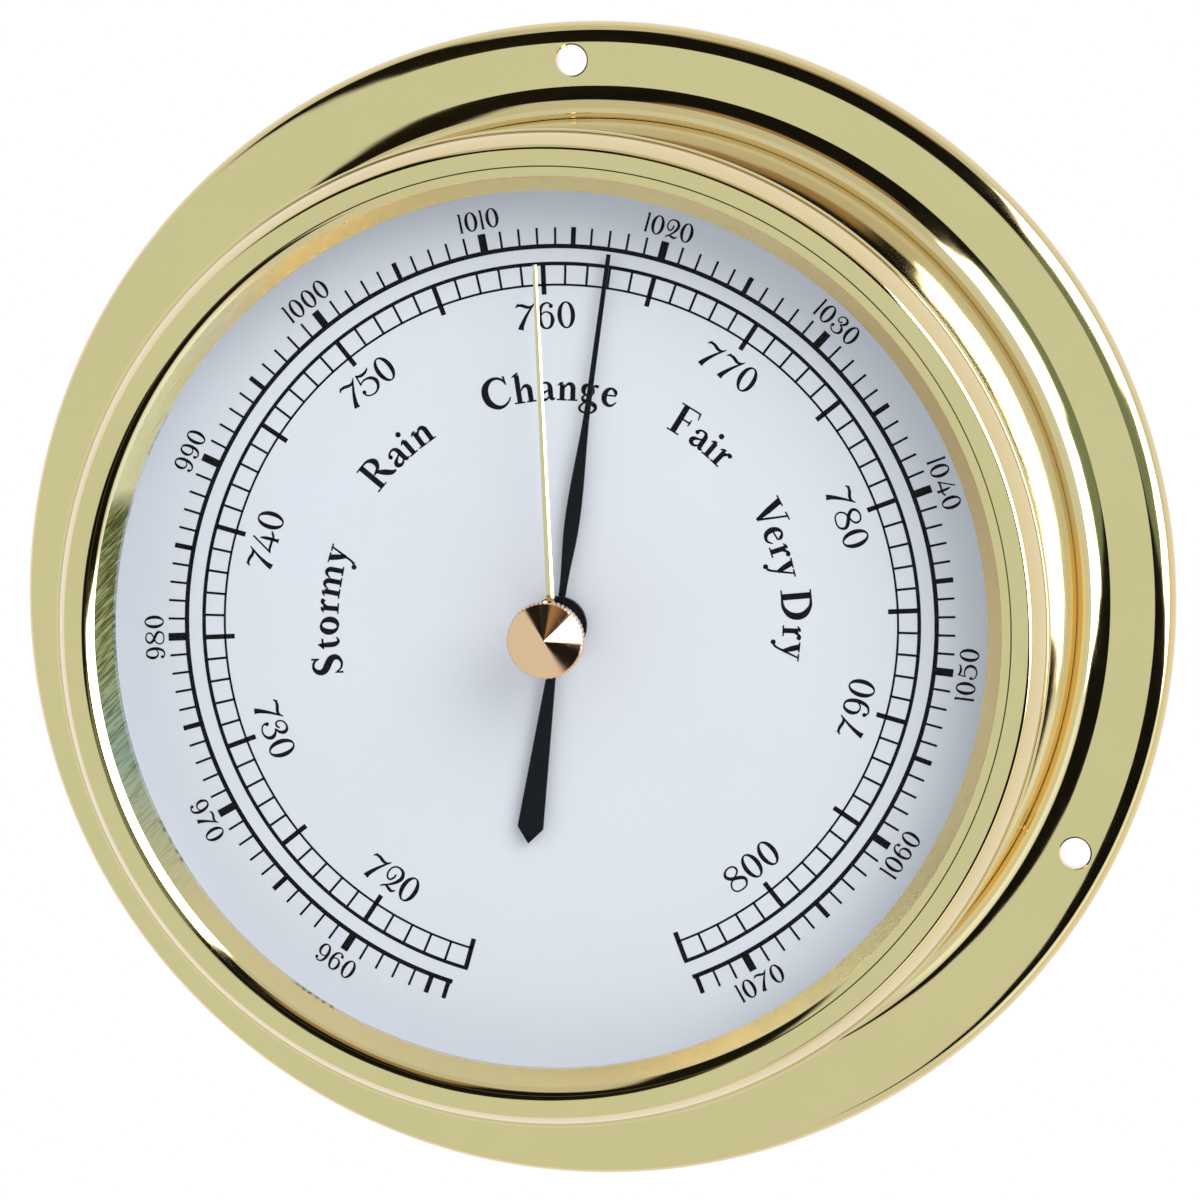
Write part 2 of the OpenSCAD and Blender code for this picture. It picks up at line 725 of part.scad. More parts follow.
module bridge_pillars() color([0.78, 0.68, 0.4]) facing()
    for (p = bridge_feet) translate([p[0], p[1], 0]) difference() {
        disc(bridge_pillar_d / 2, plate_top, bridge_back);
        disc(screw_r + press, bridge_back - screw_grip + bridge_t, bridge_back + through);
    }

module bridge_screws() color([0.3, 0.35, 0.5]) facing()
    for (p = bridge_feet) translate([p[0], p[1], bridge_top])
        screw(screw_r, screw_head_r, screw_head_t, screw_grip);

// Slot that the drive pin swings in
module drive_slot(bottom, top) {
    half_x = drive_pin_d / 2 + 0.7;
    half_y = drive_pin_d / 2 + 1;
    translate([drive_x - half_x, rocker_y - half_y, bottom - through])
        cube([2 * half_x, 2 * half_y, top - bottom + 2 * through]);
}

module movement_plate() color([0.80, 0.72, 0.44]) facing() difference() {
    disc(plate_r, plate_back, plate_top);
    disc(bush_r + press, plate_back - through, plate_top + through);
    translate([staff_x, staff_y, 0]) disc(bush_r + press, plate_back - through, plate_top + through);
    around(foot_angles, pillar_r) disc(screw_r + running, plate_back - through, plate_top + through);
    around(pillar_angles, pillar_r) disc(screw_r + running, plate_back - through, plate_top + through);
    drive_slot(plate_back, plate_top);
    for (p = rivet_spots) translate([p[0], p[1], 0])
        disc(rivet_r + press, plate_back - through, plate_top + through);
    around([100, 140, 180, 220, 260], plate_hole_r)
        disc(plate_hole_d / 2, plate_back - through, plate_top + through);
}

module main_pillars() color([0.78, 0.68, 0.4]) facing()
    around(pillar_angles, pillar_r) difference() {
        disc(pillar_d / 2, base_top, plate_back);
        disc(screw_r + press, base_top - through, base_top + screw_grip - base_t);
        disc(screw_r + press, plate_back - screw_grip + plate_t, plate_back + through);
    }

module pillar_screws() color([0.3, 0.35, 0.5]) facing() around(pillar_angles, pillar_r) {
    translate([0, 0, plate_top]) screw(screw_r, screw_head_r, screw_head_t, screw_grip);
    translate([0, 0, base_h]) mirror([0, 0, 1]) screw(screw_r, screw_head_r, screw_head_t, screw_grip);
}

module base_plate() color([0.55, 0.56, 0.58]) facing() difference() {
    disc(base_r, base_h, base_top);
    around(pillar_angles, pillar_r) disc(screw_r + running, base_h - through, base_top + through);
    translate([adjuster_x, 0, 0]) disc(adjuster_d / 2 + running, base_h - through, base_top + through);
    for (y = [-1, 1]) translate([anchor_x, y * leaf_w / 4, 0])
        disc(screw_r + press, base_h - through, base_top + through);
    around([60, 120, 210, 330], base_hole_r)
        disc(base_hole_d / 2, base_h - through, base_top + through);
}

module sector_gear() color([0.84, 0.74, 0.42]) facing() translate([staff_x, staff_y, 0])
    rotate([0, 0, mesh_angle]) difference() {
        pitch = 360 / sector_n;
        root = sector_pitch_r - pinion_addendum - root_play;
        half = (sector_side + 0.8) * pitch;
        union() {
            translate([0, 0, sector_back]) linear_extrude(sector_t) polygon(concat(
                [polar(root, -half)],
                [for (i = [-sector_side : sector_side])
                    each tooth(sector_n, i * pitch, root, sector_pitch_r + sector_addendum)],
                [polar(root, half)],
                [for (i = [8 : -1 : -8]) polar(root - rim_w, half * i / 8)]));
            for (a = [-half + 4, half - 4])
                bar([0, 0], polar(root - rim_w / 2, a), 1.8, sector_back, sector_top);
            disc(staff_r + 1.4, sector_back, sector_top);
            rotate([0, 0, -mesh_angle])
                bar([0, 0], [tail_reach + drive_pin_d, 0], 2 * (fork_half + fork_wall),
                    sector_back, sector_top);
        }
        disc(staff_r + press, sector_back - through, sector_top + through);
        rotate([0, 0, -mesh_angle]) translate([tail_reach - drive_pin_d, -fork_half, sector_back - through])
            cube([drive_pin_d * 3, 2 * fork_half, sector_t + 2 * through]);
    }

module sector_staff() color([0.7, 0.7, 0.74]) facing() translate([staff_x, staff_y, 0])
    disc(staff_r, plate_back + seat_gap, bridge_top + bush_lip_t + 0.2);

module rocking_shaft() color([0.66, 0.67, 0.7]) facing() {
    translate([rocker_x0, rocker_y, rocker_h]) rotate([0, 90, 0])
        cylinder(r = rocker_r, h = rocker_x1 - rocker_x0);
    translate([rocker_x0 - pivot_l, rocker_y, rocker_h]) rotate([0, 90, 0])
        cylinder(r = pivot_r, h = rocker_x1 - rocker_x0 + 2 * pivot_l);
    translate([drive_x, rocker_y, 0]) disc(drive_pin_d / 2, rocker_h, drive_top);
    translate([blade_t / 2 + 0.15, rocker_y, rocker_h - rocker_r * 0.8])
        cube([cheek_t, rocker_reach + lift_pin_r + 0.2, rocker_r * 1.6]);
    translate([-blade_t / 2 - 0.3, 0, rocker_h]) rotate([0, 90, 0])
        cylinder(r = lift_pin_r, h = blade_t + 0.45 + cheek_t / 2);
}

rivet_r = 0.9;
rivet_spots = [[lug_x0 + 2 * lug_t, rocker_y], [staff_x - 4 * lug_t, rocker_y]];

module rocker_bracket() color([0.6, 0.61, 0.64]) facing() difference() {
    union() {
        translate([lug_x0, rocker_y - bracket_w / 2, bracket_back])
            cube([lug_x1 + lug_t - lug_x0, bracket_w, bracket_t]);
        for (x = [lug_x0, lug_x1]) translate([x, rocker_y - bracket_w / 2, lug_back])
            cube([lug_t, bracket_w, bracket_back - lug_back]);
    }
    translate([lug_x0 - through, rocker_y, rocker_h]) rotate([0, 90, 0])
        cylinder(r = pivot_screw_d / 2 + press, h = lug_x1 - lug_x0 + lug_t + 2 * through);
    drive_slot(bracket_back, plate_back);
    for (p = rivet_spots) translate([p[0], p[1], 0])
        disc(rivet_r + press, bracket_back - through, plate_back + through);
}

module bracket_rivets() color([0.72, 0.72, 0.74]) facing()
    for (p = rivet_spots) translate([p[0], p[1], 0]) disc(rivet_r, bracket_back, plate_top);

// Pivot screw whose cup opens towards +X at x = 0
module pivot_screw() {
    screw_l = lug_t + pivot_play + pivot_l * 0.6;
    rotate([0, 90, 0]) difference() {
        union() {
            disc(pivot_screw_d / 2, -screw_l, 0);
            disc(pivot_screw_d / 2 + 0.6, -screw_l - 0.8, -screw_l);
        }
        disc(pivot_r + running, -pivot_l - 0.3, through);
        translate([-slot_w / 2, -pivot_screw_d, -screw_l - 0.8 - through])
            cube([slot_w, 2 * pivot_screw_d, slot_depth + through]);
    }
}

module pivot_screws() color([0.55, 0.56, 0.6]) facing() {
    inset = 0.1;
    translate([rocker_x0 - inset, rocker_y, rocker_h]) pivot_screw();
    translate([rocker_x1 + inset, rocker_y, rocker_h]) mirror([1, 0, 0]) pivot_screw();
}

// Height of the capsule's sheet over its rim at radius r
function capsule_rise(r) =
    let (u = (r - boss_r) / (capsule_r - capsule_rim - boss_r), full = capsule_t / 2 - capsule_skin)
    u <= 0 ? full : u >= 1 ? 0
        : full * (1 - pow(u, 2.2)) - ripple * sin(u * 180 * ripple_n) * sin(u * 180);

module capsule_half() {
    n = ripple_n * 6;
    radii = concat([0], [for (i = [0 : n]) boss_r + (capsule_r - capsule_rim - boss_r) * i / n], [capsule_r]);
    rotate_extrude() polygon(concat(
        [for (r = radii) [r, capsule_rise(r)]],
        [for (i = [len(radii) - 1 : -1 : 0]) [radii[i], capsule_rise(radii[i]) + capsule_skin]]));
}

module capsule_upper() color([0.78, 0.79, 0.8]) facing() translate([0, 0, capsule_mid]) capsule_half();

module capsule_lower() color([0.74, 0.75, 0.77]) facing()
    translate([0, 0, capsule_mid]) mirror([0, 0, 1]) capsule_half();

module capsule_stem() color([0.8, 0.7, 0.4]) facing() {
    neck_top = rocker_h - fork_slot - fork_cap;
    cap_top = rocker_h + fork_slot + fork_cap;
    disc(boss_r, capsule_top, capsule_top + boss_t);
    disc(stem_d / 2, capsule_top + boss_t, neck_top);
    difference() {
        translate([-blade_t / 2, -stem_d / 2, neck_top])
            cube([blade_t, stem_d + 0.4, cap_top - neck_top]);
        translate([-blade_t, -lift_pin_r - 0.15, rocker_h - fork_slot])
            cube([2 * blade_t, stem_d * 2, 2 * fork_slot]);
    }
}

module capsule_foot() color([0.8, 0.7, 0.4]) facing() disc(foot_r2, leaf_top, capsule_back);

module adjusting_leaf() color([0.5, 0.52, 0.56]) facing() difference() {
    translate([anchor_x - leaf_over, -leaf_w / 2, leaf_back])
        cube([adjuster_x - anchor_x + 2 * leaf_over, leaf_w, leaf_t]);
    for (y = [-1, 1]) translate([anchor_x, y * leaf_w / 4, 0])
        disc(screw_r + running, leaf_back - through, leaf_top + through);
}

module leaf_spacer() color([0.58, 0.59, 0.62]) facing() difference() {
    translate([anchor_x - leaf_over, -leaf_w / 2, base_top]) cube([2 * leaf_over, leaf_w, leaf_gap]);
    for (y = [-1, 1]) translate([anchor_x, y * leaf_w / 4, 0])
        disc(screw_r + running, base_top - through, leaf_back + through);
}

module leaf_screws() color([0.3, 0.35, 0.5]) facing()
    for (y = [-1, 1]) translate([anchor_x, y * leaf_w / 4, leaf_top])
        screw(screw_r, screw_head_r, screw_head_t, leaf_top - base_h);

module adjusting_screw() color([0.82, 0.72, 0.42]) facing() translate([adjuster_x, 0, 0]) difference() {
    head_t = 1.4;
    head_back = base_h - 0.4 - head_t;
    union() {
        disc(adjuster_d / 2, base_h - 0.4, leaf_back - running);
        disc(adjuster_head_d / 2, head_back, base_h - 0.4);
    }
    translate([-adjuster_head_d, -slot_w / 2, head_back - through])
        cube([2 * adjuster_head_d, slot_w, slot_depth * 1.5 + through]);
}

module rear_cover() color([0.1, 0.1, 0.11]) facing() difference() {
    bead_r = cover_r - bead_inset;
    rotate_extrude() polygon(concat([[0, cover_back]],
        [for (i = [0 : 10]) [bead_r + bead_w * (i / 10 - 0.5),
            cover_back - bead_h * (1 - cos(36 * i)) / 2]],
        [[cover_r, cover_back], [cover_r, cover_recess], [0, cover_recess]]));
    translate([adjuster_x, 0, 0]) disc(access_d / 2, -through, cover_recess + through);
    around(lug_angles, lug_ring_r) disc(cover_screw_r + running, -through, cover_recess + through);
    around([90, 210, 330], vent_r) disc(vent_d / 2, -through, cover_recess + through);
}

module rear_cover_screws() color([0.7, 0.7, 0.72]) facing() around(lug_angles, lug_ring_r)
    translate([0, 0, cover_back]) mirror([0, 0, 1])
        screw(cover_screw_r - press, cover_screw_head_r, cover_screw_head_t, cover_screw_grip);

case_shell();
bezel_ring();
front_glass();
glass_gasket();
spacer_ring();
dial_plate();
dial_feet();
dial_foot_nuts();
glass_bush();
set_knob();
set_spindle();
friction_washer();
set_hand();
pointer();
pointer_collet();
pointer_arbor();
pinion();
hairspring_collet();
hairspring();
hairspring_stud();
arbor_bushes();
staff_bushes();
movement_bridge();
bridge_pillars();
bridge_screws();
movement_plate();
main_pillars();
pillar_screws();
base_plate();
sector_gear();
sector_staff();
rocking_shaft();
rocker_bracket();
bracket_rivets();
pivot_screws();
capsule_upper();
capsule_lower();
capsule_stem();
capsule_foot();
adjusting_leaf();
leaf_spacer();
leaf_screws();
adjusting_screw();
rear_cover();
rear_cover_screws();
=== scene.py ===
import json
import math

import bmesh
import bpy
from mathutils import Matrix, Vector


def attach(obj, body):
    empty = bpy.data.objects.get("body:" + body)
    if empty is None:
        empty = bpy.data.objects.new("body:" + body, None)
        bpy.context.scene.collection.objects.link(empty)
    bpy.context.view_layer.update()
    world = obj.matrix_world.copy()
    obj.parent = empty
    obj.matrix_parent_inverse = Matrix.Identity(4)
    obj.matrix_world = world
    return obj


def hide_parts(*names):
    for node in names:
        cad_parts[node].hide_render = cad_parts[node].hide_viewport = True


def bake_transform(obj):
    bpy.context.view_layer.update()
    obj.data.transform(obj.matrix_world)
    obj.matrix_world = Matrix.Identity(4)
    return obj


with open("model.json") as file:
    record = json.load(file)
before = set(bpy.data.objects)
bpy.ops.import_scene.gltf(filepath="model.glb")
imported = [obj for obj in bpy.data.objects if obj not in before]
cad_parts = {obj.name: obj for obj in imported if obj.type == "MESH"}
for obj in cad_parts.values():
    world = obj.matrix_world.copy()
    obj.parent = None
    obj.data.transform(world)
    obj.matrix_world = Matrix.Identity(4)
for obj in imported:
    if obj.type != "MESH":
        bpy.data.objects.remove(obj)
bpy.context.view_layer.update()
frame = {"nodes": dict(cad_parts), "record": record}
NODES = frame["nodes"]
MM = 0.001

# ---------------------------------------------------------------- dimensions, in mm
# r is the distance from the case's axis, h the height in front of the wall
FLANGE_R = 60.0
FLANGE_T = 1.9
MOUTH_R = 49.4
MOUTH_BORE_R = 48.4
CASE_H = 39.6
DIAL_BACK = 31.0
DIAL_FACE = 31.8
RIB = (45.5, 29.6)  # inner radius and back of the rib behind the dial
BORE_R = 49.0
COVER_BORE_R = 50.1
COVER_RECESS = 1.4
HOLE_R = 1.6
HOLE_RING_R = 56.0
HOLE_ANGLES = (90, 210, 330)
LUG = (47.2, 2.4, 1.4, 8.4)  # radius of their ring, radius, back, top
LUG_HOLE_R = 1.0
LUG_HOLE_TOP = 5.9
LUG_ANGLES = (60, 180, 300)
CREST_H = 43.4
FLANK_R = 14.0
OPENING_R = 43.6
LIP_TOP = 40.4
GLASS_TOP = 40.0
SKIRT = (47.3, 48.35, 35.8)  # the bezel's inner and outer radius inside the case, and its back
BORE_DROP = 0.7
SEGMENTS = 576
HOLE_SEGMENTS, LUG_SEGMENTS, HUB_SEGMENTS = 64, 48, 96
SHARP = 28  # degrees between two faces, above which their edge is drawn sharp
PRINT_SHARP = 20
LONG_SIDE = 6  # a side this many times longer than the distance of its extra points gets them
WELD = 1e-8
SLOPE_STEP = 3.5
EDGE_BACK_H = 0.4
MOUTH_BREAK = 0.32
HOLE_BREAK = (0.12, 0.2, 0.15, 0.05)  # back and front chamfer, then how far the front one goes in and stands out
LUG_BREAK = 0.2
# Polished edges: radius where the flat ends, then runs of (width, slope at its start, slope at its end in degrees);
# the throat's runs lie before and after its groove
RIM = (57.7, [(0.3, 1, 5), (0.93, 5, 8.1), (0.44, 8.1, 18.4), (0.35, 18.4, 60), (0.22, 60, 74)])
COVE = (53.45, [(0.2, 0, 5), (1.05, 5, 8.1), (0.85, 8.1, 18.4), (1.1, 18.4, 62), (0.2, 62, 87)])
CREST = (47.7, [(0.1, 1, 5), (0.3, 5, 18), (0.15, 18, 58)])
THROAT = (46.91, [(0.3, 1, 5.3), (0.48, 5.3, 10.9)], [(0.81, 10.9, 21.4), (0.1, 21.4, 44)])
# draft is the lean of the groove's walls, step how much lower its inner edge lies; its dark line is painted shade in
# the bezel's colour
GROOVE = dict(width=0.10, depth=0.16, draft=0.01, step=0.02)
# Radius and half width of the dark line of painted shade along the groove
PAINTED_GROOVE_SHADE_R = 46.08
PAINTED_GROOVE_SHADE_HALF = 0.07
CONE_FOOT = (43.62, 41.36)


# ---------------------------------------------------------------- mesh helpers
def at(x, y, h):
    """Point of the model from mm across, up and in front of the wall."""
    return Vector((x * MM, -h * MM, y * MM))


def arc(cx, cy, rx, ry, start, end, count):
    turn = [math.radians(start + (end - start) * i / count) for i in range(count + 1)]
    return [(cx + rx * math.cos(a), cy + ry * math.sin(a)) for a in turn]


def bow(p, q, r, count):
    """Arc of radius r from p to q, bowed to the right of that line."""
    p, q = Vector(p), Vector(q)
    along = q - p
    side = Vector((along.y, -along.x)).normalized()
    c = (p + q) / 2 - side * math.sqrt(r * r - along.length_squared / 4)
    a0 = math.degrees(math.atan2(p.y - c.y, p.x - c.x))
    a1 = math.degrees(math.atan2(q.y - c.y, q.x - c.x))
    return arc(c.x, c.y, r, r, a0, a1, count)


def slopes(start, runs, across, rise):
    """Curve whose slope changes evenly within each run; across and rise are its signs along r and h."""
    r, h = start
    out = [(r, h)]
    for width, s0, s1 in runs:
        count = max(4, math.ceil((s1 - s0) / SLOPE_STEP))
        for i in range(count):
            r += across * width / count
            h += rise * width / count * math.tan(math.radians(s0 + (s1 - s0) * (i + 0.5) / count))
            out.append((r, h))
    return out


def eased(loop, near=0.05):
    """The loop with an extra point close to each end of its long sides, so that flats shade flat."""
    out = []
    for i, p in enumerate(loop):
        q = loop[(i + 1) % len(loop)]
        p, q = Vector(p), Vector(q)
        out.append(tuple(p))
        if (q - p).length > LONG_SIDE * near:
            step = (q - p).normalized() * near
            out += [tuple(p + step), tuple(q - step)]
    return out


def shaded(mesh, sharp=SHARP):
    mesh.shade_smooth()
    mesh.set_sharp_from_angle(angle=math.radians(sharp))


def finished(name, bm, sharp=SHARP):
    """Object of the bmesh, which is freed."""
    bmesh.ops.recalc_face_normals(bm, faces=bm.faces)
    mesh = bpy.data.meshes.new(name)
    bm.to_mesh(mesh)
    bm.free()
    shaded(mesh, sharp)
    obj = bpy.data.objects.new(name, mesh)
    bpy.context.scene.collection.objects.link(obj)
    return obj


def lathe_bm(loop, segments, ripple=None, centre=(0.0, 0.0)):
    """Closed profile turned about the axis; ripple(r, h, angle) may change each radius."""
    bm = bmesh.new()
    rings = []
    for i in range(segments):
        a = 2 * math.pi * i / segments
        ring = []
        for r, h in loop:
            rr = ripple(r, h, a) if ripple else r
            ring.append(bm.verts.new(at(centre[0] + rr * math.cos(a), centre[1] + rr * math.sin(a), h)))
        rings.append(ring)
    n = len(loop)
    for i in range(segments):
        a, b = rings[i], rings[(i + 1) % segments]
        for j in range(n):
            k = (j + 1) % n
            bm.faces.new((a[j], a[k], b[k], b[j]))
    bmesh.ops.remove_doubles(bm, verts=bm.verts, dist=WELD)
    return bm


def repeated_bm(loop, segments, ring_r, angles):
    """The same turned profile at each angle of a ring."""
    bm = bmesh.new()
    for angle in angles:
        a = math.radians(angle)
        part = lathe_bm(loop, segments, centre=(ring_r * math.cos(a), ring_r * math.sin(a)))
        mesh = bpy.data.meshes.new("part")
        part.to_mesh(mesh)
        part.free()
        bm.from_mesh(mesh)
        bpy.data.meshes.remove(mesh)
    return bm


def cut(obj, other):
    """Cuts another object, which is removed, out of obj."""
    mod = obj.modifiers.new("cut", "BOOLEAN")
    mod.operation = "DIFFERENCE"
    mod.solver = "EXACT"
    mod.object = other
    bpy.context.view_layer.update()
    made = bpy.data.meshes.new_from_object(obj.evaluated_get(bpy.context.evaluated_depsgraph_get()))
    obj.modifiers.clear()
    old, obj.data = obj.data, made
    made.name = old.name
    bpy.data.meshes.remove(old)
    bpy.data.objects.remove(other)


def dress(obj, material, body, slot_name, *replaced):
    """Gives a piece its material and body, and the nodes it stands for; the slot is not used."""
    obj.data.materials.clear()
    obj.data.materials.append(material)
    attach(obj, body)
    if replaced:
        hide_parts(*replaced)


# ---------------------------------------------------------------- node helpers
def add(tree, kind, inputs=None, **props):
    """New node; each input is a value or another node's socket."""
    node = tree.nodes.new(kind)
    for key, value in props.items():
        setattr(node, key, value)
    for key, value in (inputs or {}).items():
        if isinstance(value, bpy.types.NodeSocket):
            tree.links.new(value, node.inputs[key])
        else:
            node.inputs[key].default_value = value
    return node


def math_node(tree, operation, *values):
    return add(tree, "ShaderNodeMath", dict(enumerate(values)), operation=operation).outputs[0]


def noise(tree, vector, scale, detail=3.0, roughness=0.5):
    return add(tree, "ShaderNodeTexNoise",
               {"Vector": vector, "Scale": scale, "Detail": detail, "Roughness": roughness}).outputs["Fac"]


def spread(tree, value, low, high, lo_in=0.3, hi_in=0.7):
    """low to high while the value goes from lo_in to hi_in."""
    return add(tree, "ShaderNodeMapRange",
               {"Value": value, "From Min": lo_in, "From Max": hi_in, "To Min": low, "To Max": high}).outputs[0]


def tones(tree, value, dark, light, lo_in=0.3, hi_in=0.7):
    """Colour from dark to light while the value goes from lo_in to hi_in."""
    ramp = add(tree, "ShaderNodeValToRGB", {"Fac": value})
    ramp.color_ramp.elements[0].position = lo_in
    ramp.color_ramp.elements[1].position = hi_in
    ramp.color_ramp.elements[0].color = (*dark, 1)
    ramp.color_ramp.elements[1].color = (*light, 1)
    return ramp.outputs[0]


def spread_mm(tree, value, low, high, span):
    return spread(tree, value, low, high, span[0] * MM, span[1] * MM)


def steep(tree, value, low, high, lo_in, hi_in):
    """As spread, with soft ends."""
    return add(tree, "ShaderNodeMapRange",
               {"Value": value, "From Min": lo_in, "From Max": hi_in, "To Min": low, "To Max": high},
               interpolation_type="SMOOTHSTEP").outputs[0]


def blended(tree, factor, first, second, **props):
    """Colour mix; each colour is a tuple or another node's socket."""
    return add(tree, "ShaderNodeMix", {"Factor": factor, 6: first, 7: second}, data_type="RGBA", **props).outputs[2]


def raised(tree, height, strength, distance, **below):
    """Normal of a bump, its distance in mm, on top of another normal if one is given."""
    return add(tree, "ShaderNodeBump", {"Height": height, "Strength": strength, "Distance": distance * MM,
                                        **below}).outputs[0]


def scaled(colour, k):
    return tuple(min(1.0, c * k) for c in colour)


def begin(name):
    mat = bpy.data.materials.new(name)
    mat.use_nodes = True
    mat.node_tree.nodes.clear()
    return mat, mat.node_tree


def close(mat, shader):
    """Ends the material's tree with the shader's socket."""
    out = add(mat.node_tree, "ShaderNodeOutputMaterial", {"Surface": shader})
    out.is_active_output = True
    return mat


def coated(name, colour, rough, metallic=0.0, vary=0.06, grain=900.0, blotch=60.0, bump=0.02,
           stretch=(1.0, 1.0, 1.0), specular=0.5):
    """General finish: blotchy tone, uneven roughness and a fine grain in the bump."""
    k = COAT
    mat, tree = begin(name)
    place = add(tree, "ShaderNodeTexCoord").outputs["Object"]
    drawn = add(tree, "ShaderNodeMapping", {"Vector": place, "Scale": stretch}).outputs[0]
    wide = noise(tree, place, blotch, *k["wide"])
    fine = noise(tree, drawn, grain, *k["fine"])
    shader = add(tree, "ShaderNodeBsdfPrincipled", {
        "Base Color": tones(tree, wide, scaled(colour, 1 - vary), scaled(colour, 1 + vary / 2)),
        "Roughness": spread(tree, fine, rough * (1 - k["uneven"]), rough * (1 + k["uneven"])),
        "Normal": raised(tree, fine, k["strength"], bump), "Metallic": metallic, "Specular IOR Level": specular})
    return close(mat, shader.outputs[0])


def turned_metal(name, colour, rough, centre=(0.0, 0.0), rubbed_with_painted_reflection=False):
    """Metal polished on the lathe: faint circular lines, an uneven sheen and hairline scratches."""
    k = TURNED
    mat, tree = begin(name)
    place = add(tree, "ShaderNodeTexCoord").outputs["Object"]
    axes = add(tree, "ShaderNodeSeparateXYZ", {"Vector": place}).outputs
    dx = math_node(tree, "SUBTRACT", axes[0], centre[0] * MM)
    dz = math_node(tree, "SUBTRACT", axes[2], centre[1] * MM)
    radius = math_node(tree, "SQRT", math_node(tree, "ADD", math_node(tree, "MULTIPLY", dx, dx),
                                               math_node(tree, "MULTIPLY", dz, dz)))
    ring = add(tree, "ShaderNodeCombineXYZ", {"X": radius, "Y": math_node(tree, "MULTIPLY", axes[1], k["rise"]),
                                              "Z": 0.0}).outputs[0]
    lines = noise(tree, ring, *k["lines"])
    wide = noise(tree, place, *k["blotch"])
    mist = noise(tree, place, *k["mist"])
    drawn = add(tree, "ShaderNodeMapping", {"Vector": place, "Rotation": (0.0, k["scratch_turn"], 0.0),
                                            "Scale": (1.0, 1.0, k["scratch_stretch"])}).outputs[0]
    scratch = noise(tree, drawn, *k["scratch"])
    sheen = math_node(tree, "ADD", spread(tree, mist, *(rough * share for share in k["mist_rough"])),
                      spread(tree, scratch, 0.0, rough * k["scratch_rough"], *k["scratch_at"]))
    wobble = raised(tree, noise(tree, place, *k["wobble"]), 1.0, k["wobble_depth"])
    normal = raised(tree, lines, k["line_strength"], k["line_depth"], Normal=wobble)
    tone = tones(tree, wide, scaled(colour, 1 - k["vary"]), scaled(colour, 1 + k["vary"] / 2))
    # On the bezel: rub marks in bump and roughness, with painted reflection on the cone's left and painted shade in the
    # groove
    if rubbed_with_painted_reflection:
        tone, sheen, normal = rub(tree, place, axes, radius, tone, sheen, normal)
    shader = add(tree, "ShaderNodeBsdfPrincipled", {
        "Base Color": tone, "Roughness": sheen, "Normal": normal, "Metallic": 1.0})
    return close(mat, shader.outputs[0])


def rub(tree, place, axes, radius, tone, sheen, normal):
    """Slanted marks of rubbing on the bezel's inner cone, real in its bump and roughness. Their dark green tones on the
    cone's left, which change with height and turn pale grey at its top, are painted reflection, and the dark line
    outside it, in the throat's groove, is painted shade.
    """
    k = RUB_AND_PAINTED_REFLECTION
    inside = math_node(tree, "LESS_THAN", radius, k["limit"] * MM)
    slant = add(tree, "ShaderNodeMapping", {"Vector": place, "Rotation": (0.0, k["turn"], 0.0),
                                            "Scale": k["stretch"]}, vector_type="TEXTURE").outputs[0]
    marks = noise(tree, slant, *k["marks"])
    # Where the painted reflection goes: the cone's left, fading out towards its foot
    painted_reflection_share = math_node(tree, "MULTIPLY", inside, spread_mm(tree, axes[0], 1.0, 0.0, k["left"]))
    painted_reflection_share = math_node(tree, "MULTIPLY", painted_reflection_share, spread_mm(tree, axes[2], 0.0, 1.0, k["foot"]))
    # Painted reflection: dark green strokes whose tone shifts with height, pale grey above the top span
    paler = math_node(tree, "ADD", marks, spread_mm(tree, axes[2], *k["shift"], k["shift_at"]))
    strokes = blended(tree, spread_mm(tree, axes[2], 0.0, 1.0, k["top"]),
                      tones(tree, paler, k["dark"], k["light"], *k["contrast"]), (*k["plain"], 1))
    tone = blended(tree, painted_reflection_share, tone, strokes)
    normal = raised(tree, marks, math_node(tree, "MULTIPLY", inside, k["strength"]), k["depth"], Normal=normal)
    sheen = math_node(tree, "ADD", sheen, math_node(tree, "MULTIPLY", inside, k["rough"]))
    # Dark line of painted shade along the throat's groove
    painted_groove_shade = math_node(tree, "COMPARE", radius, PAINTED_GROOVE_SHADE_R * MM, PAINTED_GROOVE_SHADE_HALF * MM)
    return blended(tree, painted_groove_shade, tone, (*k["painted_groove_shade"], 1)), sheen, normal


def clear_glass(name):
    k = GLASS
    mat, tree = begin(name)
    place = add(tree, "ShaderNodeTexCoord").outputs["Object"]
    mist = noise(tree, place, *k["mist"])
    haze = spread(tree, mist, 0.0, k["rough"])
    mirror = add(tree, "ShaderNodeBsdfGlossy", {"Color": (1, 1, 1, 1), "Roughness": haze})
    through = add(tree, "ShaderNodeBsdfTransparent", {"Color": (*k["tint"], 1)})
    facing = add(tree, "ShaderNodeLayerWeight", {"Blend": 0.5}).outputs["Facing"]
    gloss = math_node(tree, "MULTIPLY_ADD", math_node(tree, "POWER", facing, k["power"]), *k["gloss"])
    shader = add(tree, "ShaderNodeMixShader", {0: gloss, 1: through.outputs[0], 2: mirror.outputs[0]})
    return close(mat, shader.outputs[0])


